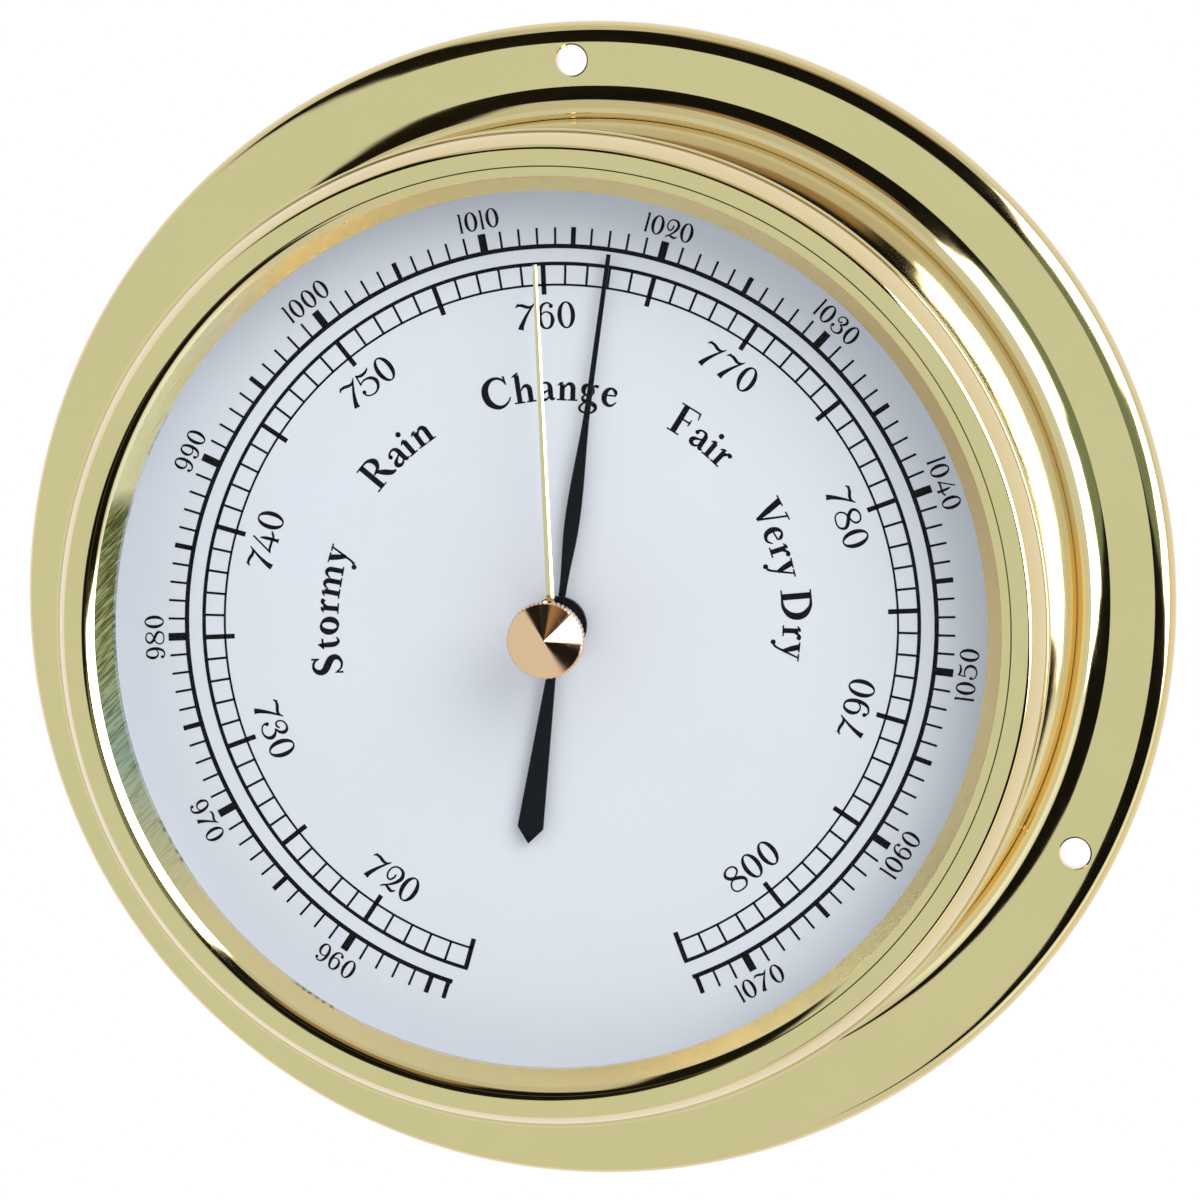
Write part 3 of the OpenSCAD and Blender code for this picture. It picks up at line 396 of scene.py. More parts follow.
# A noise is given by its waves per metre, detail and roughness, a bump by its strength and its depth in mm. The waves
# of a coat come with its call. Turns are in radians; mist_rough and scratch_rough are shares of the metal's roughness
COAT = dict(wide=(4.0, 0.5), fine=(5.0, 0.6), strength=0.5, uneven=0.25)
TURNED = dict(lines=(9000.0, 4.0, 0.7), line_strength=0.4, line_depth=0.0006, rise=0.6, blotch=(45.0, 5.0, 0.6),
              mist=(260.0, 3.0, 0.5), mist_rough=(0.8, 1.25), scratch=(420.0, 6.0, 0.75), scratch_turn=0.7,
              scratch_stretch=30.0, scratch_rough=0.6, scratch_at=(0.66, 0.8), wobble=(75.0, 2.0, 0.5),
              wobble_depth=0.04, vary=0.03)
# limit is the cone's outer radius and rough the roughness added there; left, foot, shift_at and top are spans of x
# or z in mm
# The marks' bump and roughness are real; their colours and the shift of their tone with height are painted reflection,
# and the last colour is painted shade in the groove
RUB_AND_PAINTED_REFLECTION = dict(limit=45.2, turn=0.75, stretch=(1.0, 1000.0, 11.0), marks=(5200.0, 3.0, 0.6), strength=0.9, depth=0.008,
           rough=0.11, left=(-38, -24), foot=(-27, -11), shift=(0.09, -0.11), shift_at=(-14, 18), top=(13.5, 16),
           dark=(0.07, 0.085, 0.045), light=(0.36, 0.46, 0.34), contrast=(0.36, 0.62), plain=(0.66, 0.74, 0.74),
           painted_groove_shade=(0.10, 0.07, 0.03))
# gloss is how much the mirror gains towards the rim of the view and its share straight on
GLASS = dict(mist=(120.0, 4.0, 0.5), rough=0.02, tint=(0.985, 0.995, 1.0), power=5.0, gloss=(0.7, 0.003))
BRASS = (0.76, 0.61, 0.33)
MATERIALS = {
    "case_brass": turned_metal("case_brass_polished", BRASS, 0.045),
    "bezel_brass": turned_metal("bezel_brass_painted_reflection_and_shade", BRASS, 0.045, rubbed_with_painted_reflection=True),
    "hand_brass": coated("hand_brass_polished", (0.76, 0.62, 0.36), 0.07, 1.0, vary=0.04, bump=0.002),
    "knob_brass": turned_metal("knob_brass_polished", (0.90, 0.56, 0.37), 0.07, centre=(0.0, -BORE_DROP)),
    "movement_brass": coated("movement_brass_milled", (0.74, 0.58, 0.28), 0.26, 1.0, stretch=(1, 1, 14)),
    "clear_glass": clear_glass("clear_glass_plate"),
    "black_rubber": coated("black_rubber_matt", (0.035, 0.035, 0.037), 0.7, grain=1600, bump=0.01),
    "white_paint": coated("white_paint_matt", (0.80, 0.83, 0.88), 0.55, vary=0.02, bump=0.004),
    "dial_enamel": coated("dial_enamel_matt", (0.81, 0.817, 0.86), 0.5, vary=0.012, grain=2600, bump=0.002,
                          specular=0.25),
    "pointer_black": coated("pointer_black_lacquer", (0.004, 0.0045, 0.007), 0.38, vary=0.2, bump=0.003,
                            specular=0.08),
    "ink": coated("dial_ink_black", (0.005, 0.005, 0.007), 0.55, vary=0.2, grain=3000, bump=0.001, specular=0.06),
    "pivot_steel": coated("pivot_steel_ground", (0.60, 0.61, 0.63), 0.2, 1.0, stretch=(1, 20, 1)),
    "spring_steel": coated("spring_steel_tempered", (0.42, 0.43, 0.46), 0.24, 1.0, stretch=(12, 1, 1)),
    "blued_steel": coated("blued_steel_heat", (0.07, 0.09, 0.24), 0.2, 1.0, vary=0.25),
    "sheet_steel": coated("sheet_steel_zinc", (0.56, 0.57, 0.59), 0.34, 1.0, blotch=180, vary=0.12),
    "capsule_metal": coated("capsule_metal_nickel", (0.66, 0.64, 0.60), 0.26, 1.0, stretch=(1, 1, 8)),
    "cover_black": coated("cover_black_painted", (0.018, 0.018, 0.019), 0.42, grain=1400, bump=0.02),
}
slot_of = {s["node"]: s["material_slot"] for s in frame["record"]["subparts"]}
for node_name, obj in NODES.items():
    obj.data.materials.clear()
    obj.data.materials.append(MATERIALS[slot_of[node_name]])


# ---------------------------------------------------------------- case and bezel
def case():
    mouth = CASE_H - MOUTH_BREAK
    loop = [(COVER_BORE_R, 0), (FLANGE_R, 0), (FLANGE_R, EDGE_BACK_H)]
    loop += slopes((RIM[0], FLANGE_T), RIM[1], 1, -1)[::-1]
    loop += slopes((COVE[0], FLANGE_T), COVE[1], -1, 1)
    loop += arc(MOUTH_R, mouth, MOUTH_BREAK, MOUTH_BREAK, 4, 90, 8)
    loop += [(MOUTH_BORE_R, CASE_H), (MOUTH_BORE_R, DIAL_BACK), (RIB[0], DIAL_BACK),
             RIB, (BORE_R, RIB[1]), (BORE_R, COVER_RECESS), (COVER_BORE_R, COVER_RECESS)]
    obj = finished("case_turned", lathe_bm(eased(loop), SEGMENTS))
    back, front, depth, out = HOLE_BREAK
    hole = [(0, -1), (HOLE_R + back, -1), (HOLE_R + back, 0), (HOLE_R, back), (HOLE_R, FLANGE_T - depth),
            (HOLE_R + front, FLANGE_T + out), (HOLE_R + front, FLANGE_T + 1), (0, FLANGE_T + 1)]
    cut(obj, finished("hole_tools", repeated_bm(hole, HOLE_SEGMENTS, HOLE_RING_R, HOLE_ANGLES)))
    shaded(obj.data)
    dress(obj, MATERIALS["case_brass"], "case", "case_brass", "case_shell")


def lugs():
    """The three screw lugs inside the case, each with its tapped hole."""
    ring_r, lug_r, back, top = LUG
    loop = [(LUG_HOLE_R, back), (lug_r, back), (lug_r, top - LUG_BREAK), (lug_r - LUG_BREAK, top), (0, top),
            (0, LUG_HOLE_TOP), (LUG_HOLE_R, LUG_HOLE_TOP)]
    dress(finished("case_lugs", repeated_bm(loop, LUG_SEGMENTS, ring_r, LUG_ANGLES)), MATERIALS["case_brass"],
          "case", "case_brass", "case_shell")


def bezel():
    """Skirt, bowed flank, crest, throat with its groove, inner cone and lip."""
    inner, outer, back = SKIRT
    crest = slopes((CREST[0], CREST_H), CREST[1], 1, -1)[::-1]
    loop = [(inner, back), (outer, back), (outer, CASE_H)]
    loop += bow((MOUTH_R, CASE_H), crest[0], FLANK_R, 12)[:-1] + crest
    loop += slopes((THROAT[0], CREST_H), THROAT[1], -1, -1)
    r, h = loop[-1]
    floor_h = h - GROOVE["depth"]
    loop += [(r - GROOVE["draft"], floor_h), (r - GROOVE["width"] + GROOVE["draft"], floor_h)]
    loop += slopes((r - GROOVE["width"], h - GROOVE["step"]), THROAT[2], -1, -1)
    loop += [CONE_FOOT, (OPENING_R, LIP_TOP), (OPENING_R, GLASS_TOP), (inner, GLASS_TOP)]
    dress(finished("bezel_turned", lathe_bm(eased(loop), SEGMENTS)), MATERIALS["bezel_brass"],
          "case", "case_brass", "bezel_ring")


# ---------------------------------------------------------------- knob
# depth and tooth shape the knurls, which fade out towards smooth_r; flare is the neck's curve
KNOB = dict(neck_r=2.3, neck_back=40.5, neck_top=41.2, rim_r=3.85, rim_back=42.1, rim_top=43.65, apex=44.5,
            flare=1.6, tip_r=0.12, tip_drop=0.03, knurls=52, depth=0.13, margin=0.03, tooth=0.8, edge=0.05)


def knob():
    k = KNOB
    edge_r = k["rim_r"] - k["edge"]
    smooth_r = edge_r - k["depth"] - k["margin"]
    fall = (k["apex"] - k["rim_top"]) / edge_r
    loop = [(0, k["neck_back"]), (k["neck_r"], k["neck_back"]), (k["neck_r"], k["neck_top"])]
    loop += [(k["neck_r"] + (k["rim_r"] - k["edge"] - k["neck_r"]) * t ** k["flare"],
              k["neck_top"] + (k["rim_back"] - k["neck_top"]) * t) for t in (0.2, 0.4, 0.6, 0.8, 1.0)]
    loop += [(k["rim_r"], k["rim_back"] + k["edge"]), (k["rim_r"], k["rim_top"] - k["edge"]),
             (edge_r, k["rim_top"]), (smooth_r, k["apex"] - fall * smooth_r),
             (k["tip_r"], k["apex"] - k["tip_drop"]), (0, k["apex"])]

    def knurled(r, h, a):
        reach = (r - smooth_r) / (k["rim_r"] - k["edge"] - smooth_r)
        wave = abs(((a * k["knurls"] / (2 * math.pi)) % 1) - 0.5) * 2
        return r - k["depth"] * min(max(reach, 0.0), 1.0) * (1 - wave) ** k["tooth"]

    bm = lathe_bm(eased(loop, 0.03), k["knurls"] * (8), knurled, (0.0, -BORE_DROP))
    dress(finished("set_knob_turned", bm), MATERIALS["knob_brass"], "set_hand", "knob_brass", "set_knob")


# ---------------------------------------------------------------- set hand
# thick and root_y are the blade's; face is the flat share of its width and fall the bevel's drop at the root
HAND = dict(bore_r=1.0, hub_r=2.4, hub_t=0.75, hub_break=0.06, thick=0.3, root_y=2.3, length=36.9, root_w=0.78,
            tip_w=0.42, face=0.64, fall=0.055, side=(0.02, 0.03), rows=12, sharp=4)


def hand():
    """Flat blade, narrowing to its tip, with one long edge bevelled to catch the light."""
    k = HAND
    top = max(-(NODES["set_hand"].matrix_world @ v.co).y for v in NODES["set_hand"].data.vertices) / MM
    bottom = top - k["thick"]
    hub = [(k["bore_r"], top - k["hub_t"]), (k["hub_r"], top - k["hub_t"]), (k["hub_r"], top - k["hub_break"]),
           (k["hub_r"] - k["hub_break"], top), (k["bore_r"], top)]
    bm = lathe_bm(eased(hub), HUB_SEGMENTS, centre=(0.0, -BORE_DROP))
    drop, inset = k["side"]
    rows = []
    for i in range(k["rows"] + 1):
        y = k["root_y"] + (k["length"] - k["root_y"]) * i / k["rows"]
        w = k["root_w"] + (k["tip_w"] - k["root_w"]) * i / k["rows"]
        fold = -w / 2 + k["face"] * w
        fall = k["fall"] * w / k["root_w"]
        rows.append([bm.verts.new(at(x, y - BORE_DROP, h)) for x, h in
                     ((-w / 2, bottom), (-w / 2, top - drop), (-w / 2 + inset, top), (fold, top),
                      (w / 2, top - fall), (w / 2, bottom))])
    for a, b in zip(rows, rows[1:]):
        for j in range(6):
            bm.faces.new((a[j], a[(j + 1) % 6], b[(j + 1) % 6], b[j]))
    bm.faces.new(rows[0])
    bm.faces.new(rows[-1][::-1])
    dress(finished("set_hand_bevelled", bm, k["sharp"]), MATERIALS["hand_brass"], "set_hand", "knob_brass", "set_hand")


# ---------------------------------------------------------------- capsule
def capsule():
    """A copy of the capsule's upper half, baked in place of its node, which is hidden."""
    node = NODES["capsule_upper"]
    obj = bpy.data.objects.new("capsule_upper_flexing", node.data.copy())
    obj.matrix_world = node.matrix_world.copy()
    bpy.context.scene.collection.objects.link(obj)
    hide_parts("capsule_upper")
    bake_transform(obj)


# ---------------------------------------------------------------- dial print
INK_TOP = 0.02
INK_SUNK = 0.01
THINNEST = 0.001
DOT_STEPS = 8
# Value at the top of the dial and degrees per unit of the outer (hPa) and the inner (mmHg) scale
HPA = (1013.25, 2.7)
MMHG = (760, 3.6)
# Each scale: first and last value, its arcs as (inner radius, outer radius), how far they pass the ends in degrees
HPA_ARCS = (954, 1073, ((37.60, 38.05),), 0.6)
MMHG_ARCS = (715, 805, ((35.90, 36.27), (33.86, 34.08)), 0.35)
# Ticks: radius where they start, then (length, width) of tens, fives and ones and the width at the scale's ends
HPA_TICKS = (38.0, (1.75, 0.79), (1.75, 0.50), (1.7, 0.23), 0.45)
# Ticks: inner radius of fives and ones, their outer radius, their widths
MMHG_TICKS = (33.0, 33.95, 35.95, 0.49, 0.24)
# Numbers: radius, height, gap between digits as a share of the height
HPA_NUMBERS = (41.15, 1.93, 0.15)
MMHG_NUMBERS = (30.9, 2.66, 0.115)
# First and last number, then the last one at the left and the first at the right that have their tops to the centre
HPA_NUMBERED = (960, 1070, 970, 1050)
MMHG_NUMBERED = (720, 800, 730, 790)
NUMBER_SWELL = 0.042
WORD_SWELL = 0.04


class Ink:
    """Flat printed shapes, each a thin closed prism on the dial's face."""

    def __init__(self):
        self.bm = bmesh.new()

    def strip(self, left, right, closed=False):
        """Prism between two lists of points of the dial's plane, in mm."""
        n = len(left)
        low, top = DIAL_FACE - INK_SUNK, DIAL_FACE + INK_TOP
        rows = [[self.bm.verts.new(at(x, y, h)) for x, y in side] for side in (left, right) for h in (low, top)]
        lb, lt, rb, rt = rows
        for i in range(n if closed else n - 1):
            j = (i + 1) % n
            self.bm.faces.new((lt[i], lt[j], rt[j], rt[i]))
            self.bm.faces.new((lb[i], rb[i], rb[j], lb[j]))
            self.bm.faces.new((lb[i], lb[j], lt[j], lt[i]))
            self.bm.faces.new((rb[i], rt[i], rt[j], rb[j]))
        if not closed:
            for i in (0, n - 1):
                self.bm.faces.new((lb[i], lt[i], rt[i], rb[i]))

    def band(self, inner, outer, start, end):
        """Arc between two radii, from one clock angle to another."""
        count = max(8, int(abs(end - start)))
        turn = [math.radians(start + (end - start) * i / count) for i in range(count + 1)]
        self.strip([(inner * math.sin(a), inner * math.cos(a)) for a in turn],
                   [(outer * math.sin(a), outer * math.cos(a)) for a in turn])

    def tick(self, inner, outer, width, clock):
        """Radial line between two radii, in mm, at a clock angle."""
        a = math.radians(clock)
        out, across = Vector((math.sin(a), math.cos(a))), Vector((math.cos(a), -math.sin(a))) * width / 2
        self.strip([tuple(out * inner - across), tuple(out * outer - across)],
                   [tuple(out * inner + across), tuple(out * outer + across)])

    def stroke(self, points, place, closed=False, steps=6):
        """Pen stroke of changing width through (x, y, width) points; place maps a point to the dial."""
        n = len(points)
        path = []
        for i in range(n if closed else n - 1):
            ends = [points[(i + k) % n] if closed else points[min(max(i + k, 0), n - 1)] for k in (-1, 0, 1, 2)]
            p0, p1, p2, p3 = (Vector(p) for p in ends)
            for s in range(steps):
                t = s / steps
                path.append(0.5 * (2 * p1 + (p2 - p0) * t + (2 * p0 - 5 * p1 + 4 * p2 - p3) * t * t
                                   + (3 * p1 - p0 - 3 * p2 + p3) * t ** 3))
        if not closed:
            path.append(Vector(points[-1]))
        left, right = [], []
        m = len(path)
        for i, p in enumerate(path):
            before = path[(i - 1) % m] if closed else path[max(i - 1, 0)]
            after = path[(i + 1) % m] if closed else path[min(i + 1, m - 1)]
            run = Vector((after.x - before.x, after.y - before.y)).normalized()
            side = Vector((-run.y, run.x)) * max(p.z, THINNEST) / 2
            left.append(place(p.x + side.x, p.y + side.y))
            right.append(place(p.x - side.x, p.y - side.y))
        self.strip(left, right, closed)

    def dot(self, x, y, r, place):
        """Disc of radius r."""
        turn = [math.pi * i / DOT_STEPS for i in range(DOT_STEPS + 1)]
        self.strip([place(x + r * math.cos(a), y + r * math.sin(a)) for a in turn],
                   [place(x + r * math.cos(a), y - r * math.sin(a)) for a in turn])

    def glyph(self, form, place, swell):
        """All strokes of one sign; swell is added to each width."""
        for kind, *data in form:
            data = [(x, y, w + swell) for x, y, w in data]
            if kind == "pen":
                self.stroke(data, place)
            elif kind == "loop":
                self.stroke(data, place, closed=True)
            elif kind == "bar":
                self.stroke(data, place, steps=1)
            else:
                self.dot(*data[0], place)

    def object(self, name):
        return finished(name, self.bm, PRINT_SHARP)


def on_dial(clock, radius, inward, scale, dx, dy):
    """Map of a glyph's own point to the dial: upright at that clock angle, or with its top to the centre."""
    a = math.radians(clock)
    up = Vector((math.sin(a), math.cos(a))) * (-1 if inward else 1)
    right = Vector((up.y, -up.x))
    origin = Vector((math.sin(a), math.cos(a))) * radius
    return lambda x, y: tuple(origin + right * ((x + dx) * scale) + up * ((y + dy) * scale))


def oval(cx, cy, rx, ry, thick, thin, tilt=0.0, count=16, power=1.6):
    """Closed pen loop, heavy at its sides and light at its top and foot."""
    out = []
    for i in range(count):
        a = 2 * math.pi * i / count
        w = thin + (thick - thin) * abs(math.cos(a - math.radians(tilt))) ** power
        out.append((cx + (rx - thick / 2) * math.cos(a), cy + (ry - thin / 2) * math.sin(a), w))
    return out


# Digits, one unit high: (width, forms), each form a kind and its (x, y, width) points
SIX = [("pen", (0.50, 0.90, .06), (0.43, 0.96, .05), (0.32, 0.975, .055), (0.17, 0.89, .09), (0.075, 0.66, .13),
        (0.07, 0.36, .135), (0.16, 0.10, .09), (0.31, 0.022, .05), (0.46, 0.09, .09), (0.545, 0.32, .13),
        (0.49, 0.55, .085), (0.33, 0.64, .045), (0.19, 0.60, .04), (0.11, 0.50, .03)),
       ("dot", (0.50, 0.855, .062))]
DIGITS = {
    "0": (0.655, [("loop", *oval(0.3275, 0.5, 0.3275, 0.5, 0.15, 0.042))]),
    "1": (0.17, [("bar", (0.09, 1.0, .085), (0.09, 0.5, .10), (0.09, 0.05, .105), (0.09, 0.0, .16)),
                 ("bar", (0.0, 0.955, .03), (0.05, 0.975, .05), (0.10, 0.985, .04))]),
    "2": (0.64, [("pen", (0.325, 0.70, .045), (0.32, 0.55, .06), (0.22, 0.405, .055), (0.095, 0.44, .055),
                  (0.025, 0.60, .055), (0.045, 0.79, .05), (0.155, 0.935, .05), (0.33, 0.975, .06),
                  (0.51, 0.90, .105), (0.585, 0.715, .13), (0.535, 0.53, .12), (0.40, 0.33, .08),
                  (0.21, 0.155, .045), (0.04, 0.015, .04)),
                 ("pen", (0.045, 0.015, .035), (0.19, 0.14, .06), (0.34, 0.105, .10), (0.47, 0.062, .10),
                  (0.565, 0.10, .06), (0.63, 0.17, .025))]),
    "3": (0.67, [("pen", (0.37, 0.70, .04), (0.25, 0.61, .06), (0.13, 0.645, .05), (0.11, 0.78, .045),
                  (0.19, 0.915, .045), (0.36, 0.975, .055), (0.52, 0.925, .095), (0.57, 0.79, .125),
                  (0.50, 0.63, .085), (0.34, 0.53, .03)),
                 ("pen", (0.34, 0.525, .035), (0.48, 0.485, .075), (0.60, 0.34, .13), (0.58, 0.155, .105),
                  (0.44, 0.04, .06), (0.26, 0.022, .045), (0.09, 0.10, .045), (0.03, 0.23, .05)),
                 ("dot", (0.07, 0.28, .062))]),
    "4": (0.84, [("bar", (0.49, 0.99, .05), (0.05, 0.21, .05)),
                 ("pen", (0.02, 0.195, .03), (0.14, 0.255, .07), (0.40, 0.255, .08), (0.62, 0.235, .07),
                  (0.75, 0.295, .07), (0.84, 0.34, .025)),
                 ("pen", (0.495, 0.715, .02), (0.525, 0.57, .09), (0.54, 0.30, .115), (0.54, 0.09, .10),
                  (0.54, 0.0, .19))]),
    "5": (0.77, [("pen", (0.175, 0.945, .06), (0.33, 0.865, .10), (0.53, 0.86, .09), (0.66, 0.91, .05),
                  (0.73, 0.955, .02)),
                 ("bar", (0.195, 0.99, .05), (0.13, 0.57, .045)),
                 ("pen", (0.125, 0.575, .035), (0.24, 0.64, .045), (0.42, 0.65, .06), (0.61, 0.56, .105),
                  (0.705, 0.38, .13), (0.65, 0.175, .10), (0.49, 0.045, .06), (0.31, 0.022, .045),
                  (0.11, 0.10, .045), (0.03, 0.24, .05)),
                 ("dot", (0.068, 0.29, .06))]),
    "6": (0.615, SIX),
    "7": (0.735, [("pen", (0.015, 0.83, .03), (0.085, 0.905, .06), (0.25, 0.912, .10), (0.47, 0.838, .10),
                   (0.62, 0.87, .055), (0.735, 0.985, .02)),
                  ("bar", (0.105, 0.985, .02), (0.075, 0.88, .07)),
                  ("pen", (0.70, 0.94, .035), (0.567, 0.76, .06), (0.42, 0.537, .09), (0.29, 0.296, .13),
                   (0.215, 0.13, .165), (0.18, 0.0, .21))]),
    "8": (0.71, [("loop", (0.355, 0.978, .05), (0.165, 0.905, .075), (0.10, 0.755, .105), (0.215, 0.59, .12),
                  (0.42, 0.485, .125), (0.605, 0.365, .12), (0.655, 0.23, .09), (0.555, 0.068, .055),
                  (0.35, 0.022, .045), (0.115, 0.08, .045), (0.03, 0.25, .05), (0.11, 0.44, .05),
                  (0.29, 0.53, .045), (0.515, 0.63, .05), (0.61, 0.765, .065), (0.55, 0.92, .05))]),
}
DIGITS["9"] = (0.615, [(k, *[(0.615 - p[0], 1 - p[1], p[2]) for p in d]) for k, *d in SIX])
# Change of the gap between two digits
KERN = {"74": -0.19, "75": -0.17, "73": -0.12, "70": -0.05, "72": -0.05, "40": -0.06, "20": -0.04, "60": 0.01}


# Parts that several letters share: a stem with its foot, the flag at its top, an arch to the next stem
def stem(x, top, foot0, foot1):
    return [("bar", (x, top, 23), (x, 5, 23)), ("bar", (foot0, 3, 6), (foot1, 3, 6))]


def flag(x, y):
    return [("bar", (x - 24, y - 14, 3), (x - 10, y - 4, 10), (x + 4, y, 8))]


def arch(x):
    return [("pen", (x - 44, 62, 4), (x - 28, 81, 11), (x - 12, 82, 19), (x - 1, 68, 23), (x, 44, 23))]


# Letters in units of 1/50 mm on their base line: (width, forms)
LETTERS = {
    "S": (97, [("pen", (86, 118, 7), (76, 138, 10), (52, 148, 12), (28, 138, 20), (18, 114, 27), (28, 91, 33),
                (52, 73, 35), (76, 54, 33), (84, 31, 26), (74, 12, 18), (50, 2, 11), (24, 11, 8), (9, 34, 6)),
               ("bar", (86, 110, 3), (90, 152, 9)), ("bar", (3, 2, 9), (7, 44, 3))]),
    "t": (60, [("pen", (28, 110, 2), (24, 92, 16), (23, 62, 23), (24, 26, 23), (34, 6, 15), (47, 5, 9),
                (59, 14, 4)),
               ("bar", (2, 82, 4), (26, 84, 9), (57, 85, 8)), ("bar", (4, 82, 4), (16, 90, 8), (26, 102, 6))]),
    "o": (91, [("loop", *oval(45.5, 45, 45.5, 47, 28, 9, 165, 18, 1.4))]),
    "r": (73, stem(28, 80, 2, 56) + flag(28, 88)
          + [("pen", (38, 60, 4), (48, 79, 12), (60, 83, 20), (71, 76, 17))]),
    "m": (163, stem(25, 80, 0, 49) + flag(25, 88) + arch(82) + stem(82, 50, 58, 106) + arch(140)
          + stem(140, 50, 116, 163)),
    "y": (98, [("bar", (26, 87, 27), (40, 46, 25), (54, 8, 15)),
               ("pen", (80, 87, 7), (66, 46, 8), (52, 8, 9), (40, -24, 9), (28, -42, 12)), ("dot", (15, -45, 11)),
               ("bar", (1, 88, 6), (52, 88, 6)), ("bar", (60, 88, 6), (98, 88, 6))]),
    "R": (146, [("bar", (37, 148, 27), (37, 4, 27)), ("bar", (6, 148, 6), (60, 148, 7)), ("bar", (0, 3, 6), (65, 3, 6)),
                ("pen", (44, 147, 7), (82, 143, 12), (106, 115, 28), (93, 83, 17), (54, 71, 7)),
                ("pen", (72, 76, 12), (98, 42, 26), (122, 13, 22), (146, 3, 6))]),
    "a": (87, [("pen", (14, 70, 13), (20, 82, 9), (36, 89, 8), (54, 86, 13), (64, 68, 21), (65, 34, 23), (70, 9, 18),
                (87, 9, 4)), ("dot", (15, 68, 9)),
               ("pen", (64, 54, 6), (38, 43, 9), (17, 31, 19), (14, 16, 22), (28, 5, 15), (46, 8, 9), (62, 24, 6))]),
    "i": (50, stem(26, 82, 0, 50) + flag(26, 88) + [("dot", (25, 126, 12))]),
    "n": (104, stem(26, 80, 0, 51) + flag(26, 88) + arch(80) + stem(80, 50, 56, 104)),
    "C": (138, [("pen", (131, 106, 5), (120, 130, 9), (94, 147, 11), (60, 145, 18), (28, 119, 30), (17, 78, 34),
                 (28, 36, 31), (60, 7, 21), (92, 3, 13), (120, 17, 8), (138, 40, 4)),
                ("bar", (131, 104, 4), (127, 150, 9))]),
    "h": (112, [("bar", (29, 142, 23), (29, 5, 23)), ("bar", (2, 3, 6), (56, 3, 6)),
                ("bar", (4, 134, 3), (20, 142, 10), (38, 153, 7))] + arch(86) + stem(86, 50, 64, 112)),
    "g": (96, [("loop", *oval(38, 60, 34, 30, 23, 8, 165, 16, 1.4)),
               ("pen", (62, 78, 6), (74, 85, 12), (90, 82, 14)),
               ("pen", (26, 34, 6), (15, 20, 10), (24, 6, 16), (54, 0, 20), (80, -12, 20), (86, -30, 14), (70, -48, 9),
                (42, -54, 8), (14, -47, 10), (6, -30, 11), (18, -12, 8), (30, -4, 6))]),
    "e": (79, [("pen", (70, 58, 5), (64, 76, 16), (44, 89, 9), (22, 76, 18), (13, 46, 26), (21, 16, 22), (43, 3, 14),
                (62, 8, 9), (78, 27, 4)), ("bar", (20, 50, 6), (70, 57, 7))]),
    "F": (119, [("bar", (36, 148, 28), (36, 4, 28)), ("bar", (4, 149, 6), (112, 149, 7)),
                ("bar", (2, 3, 6), (70, 3, 6)),
                ("bar", (111, 151, 9), (118, 116, 3)), ("bar", (46, 81, 7), (88, 81, 7)),
                ("bar", (87, 62, 3), (89, 81, 8), (90, 100, 3))]),
    "V": (137, [("bar", (30, 148, 31), (47, 76, 29), (64, 2, 14)), ("bar", (116, 148, 8), (64, 4, 9)),
                ("bar", (0, 149, 6), (60, 149, 6)), ("bar", (92, 149, 6), (137, 149, 6))]),
    "D": (153, [("bar", (36, 148, 29), (36, 4, 29)), ("bar", (6, 149, 6), (50, 149, 7)), ("bar", (0, 3, 6), (50, 3, 6)),
                ("pen", (44, 148, 8), (88, 143, 15), (125, 114, 29), (137, 77, 33), (125, 36, 29), (88, 8, 16),
                 (44, 3, 8))]),
}
WORD_UNIT = 0.02
WORD_R = 22.42
# The words' letters, each with its clock angle
WORDS = [("S", -97.9), ("t", -92.65), ("o", -88.3), ("r", -83.55), ("m", -77.25), ("y", -70.65),
         ("R", -48.1), ("a", -41.8), ("i", -38.2), ("n", -33.7),
         ("C", -13.0), ("h", -6.1), ("a", -0.65), ("n", 4.6), ("g", 10.1), ("e", 15.1),
         ("F", 34.2), ("a", 39.7), ("i", 43.4), ("r", 46.75),
         ("V", 64.8), ("e", 69.7), ("r", 74.0), ("y", 78.5), ("D", 87.4), ("r", 94.2), ("y", 98.7)]


def hpa(value):
    """Clock angle of a value on the outer scale."""
    return (value - HPA[0]) * HPA[1]


def mmhg(value):
    """Clock angle of a value on the inner scale."""
    return (value - MMHG[0]) * MMHG[1]


def number(ink, text, clock, radius, height, gap, inward):
    x = 0.0
    spots = []
    for i, c in enumerate(text):
        spots.append(x)
        x += DIGITS[c][0] + gap + KERN.get(text[i:i + 2], 0.0)
    width = spots[-1] + DIGITS[text[-1]][0]
    for c, start in zip(text, spots):
        place = on_dial(clock, radius, inward, height, start - width / 2, -0.5)
        ink.glyph(DIGITS[c][1], place, NUMBER_SWELL / height)


def printed(ink, name):
    dress(ink.object(name), MATERIALS["ink"], "case", "pointer_black")


def dial_scales():
    ink = Ink()
    for turn, (first, last, arcs, beyond) in ((hpa, HPA_ARCS), (mmhg, MMHG_ARCS)):
        for inner, outer in arcs:
            ink.band(inner, outer, turn(first) - beyond, turn(last) + beyond)
    start, tens, fives, ones, end_width = HPA_TICKS
    first, last = HPA_ARCS[:2]
    for value in range(first, last + 1):
        length, width = tens if value % 10 == 0 else fives if value % 5 == 0 else ones
        if value in (first, last):
            width = end_width
        ink.tick(start, start + length, width, hpa(value))
    bold_r, fine_r, outer, bold, fine = MMHG_TICKS
    first, last = MMHG_ARCS[:2]
    for value in range(first, last + 1):
        five = value % 5 == 0
        ink.tick(bold_r if five else fine_r, outer, bold if five else fine, mmhg(value))
    printed(ink, "dial_scale_print")


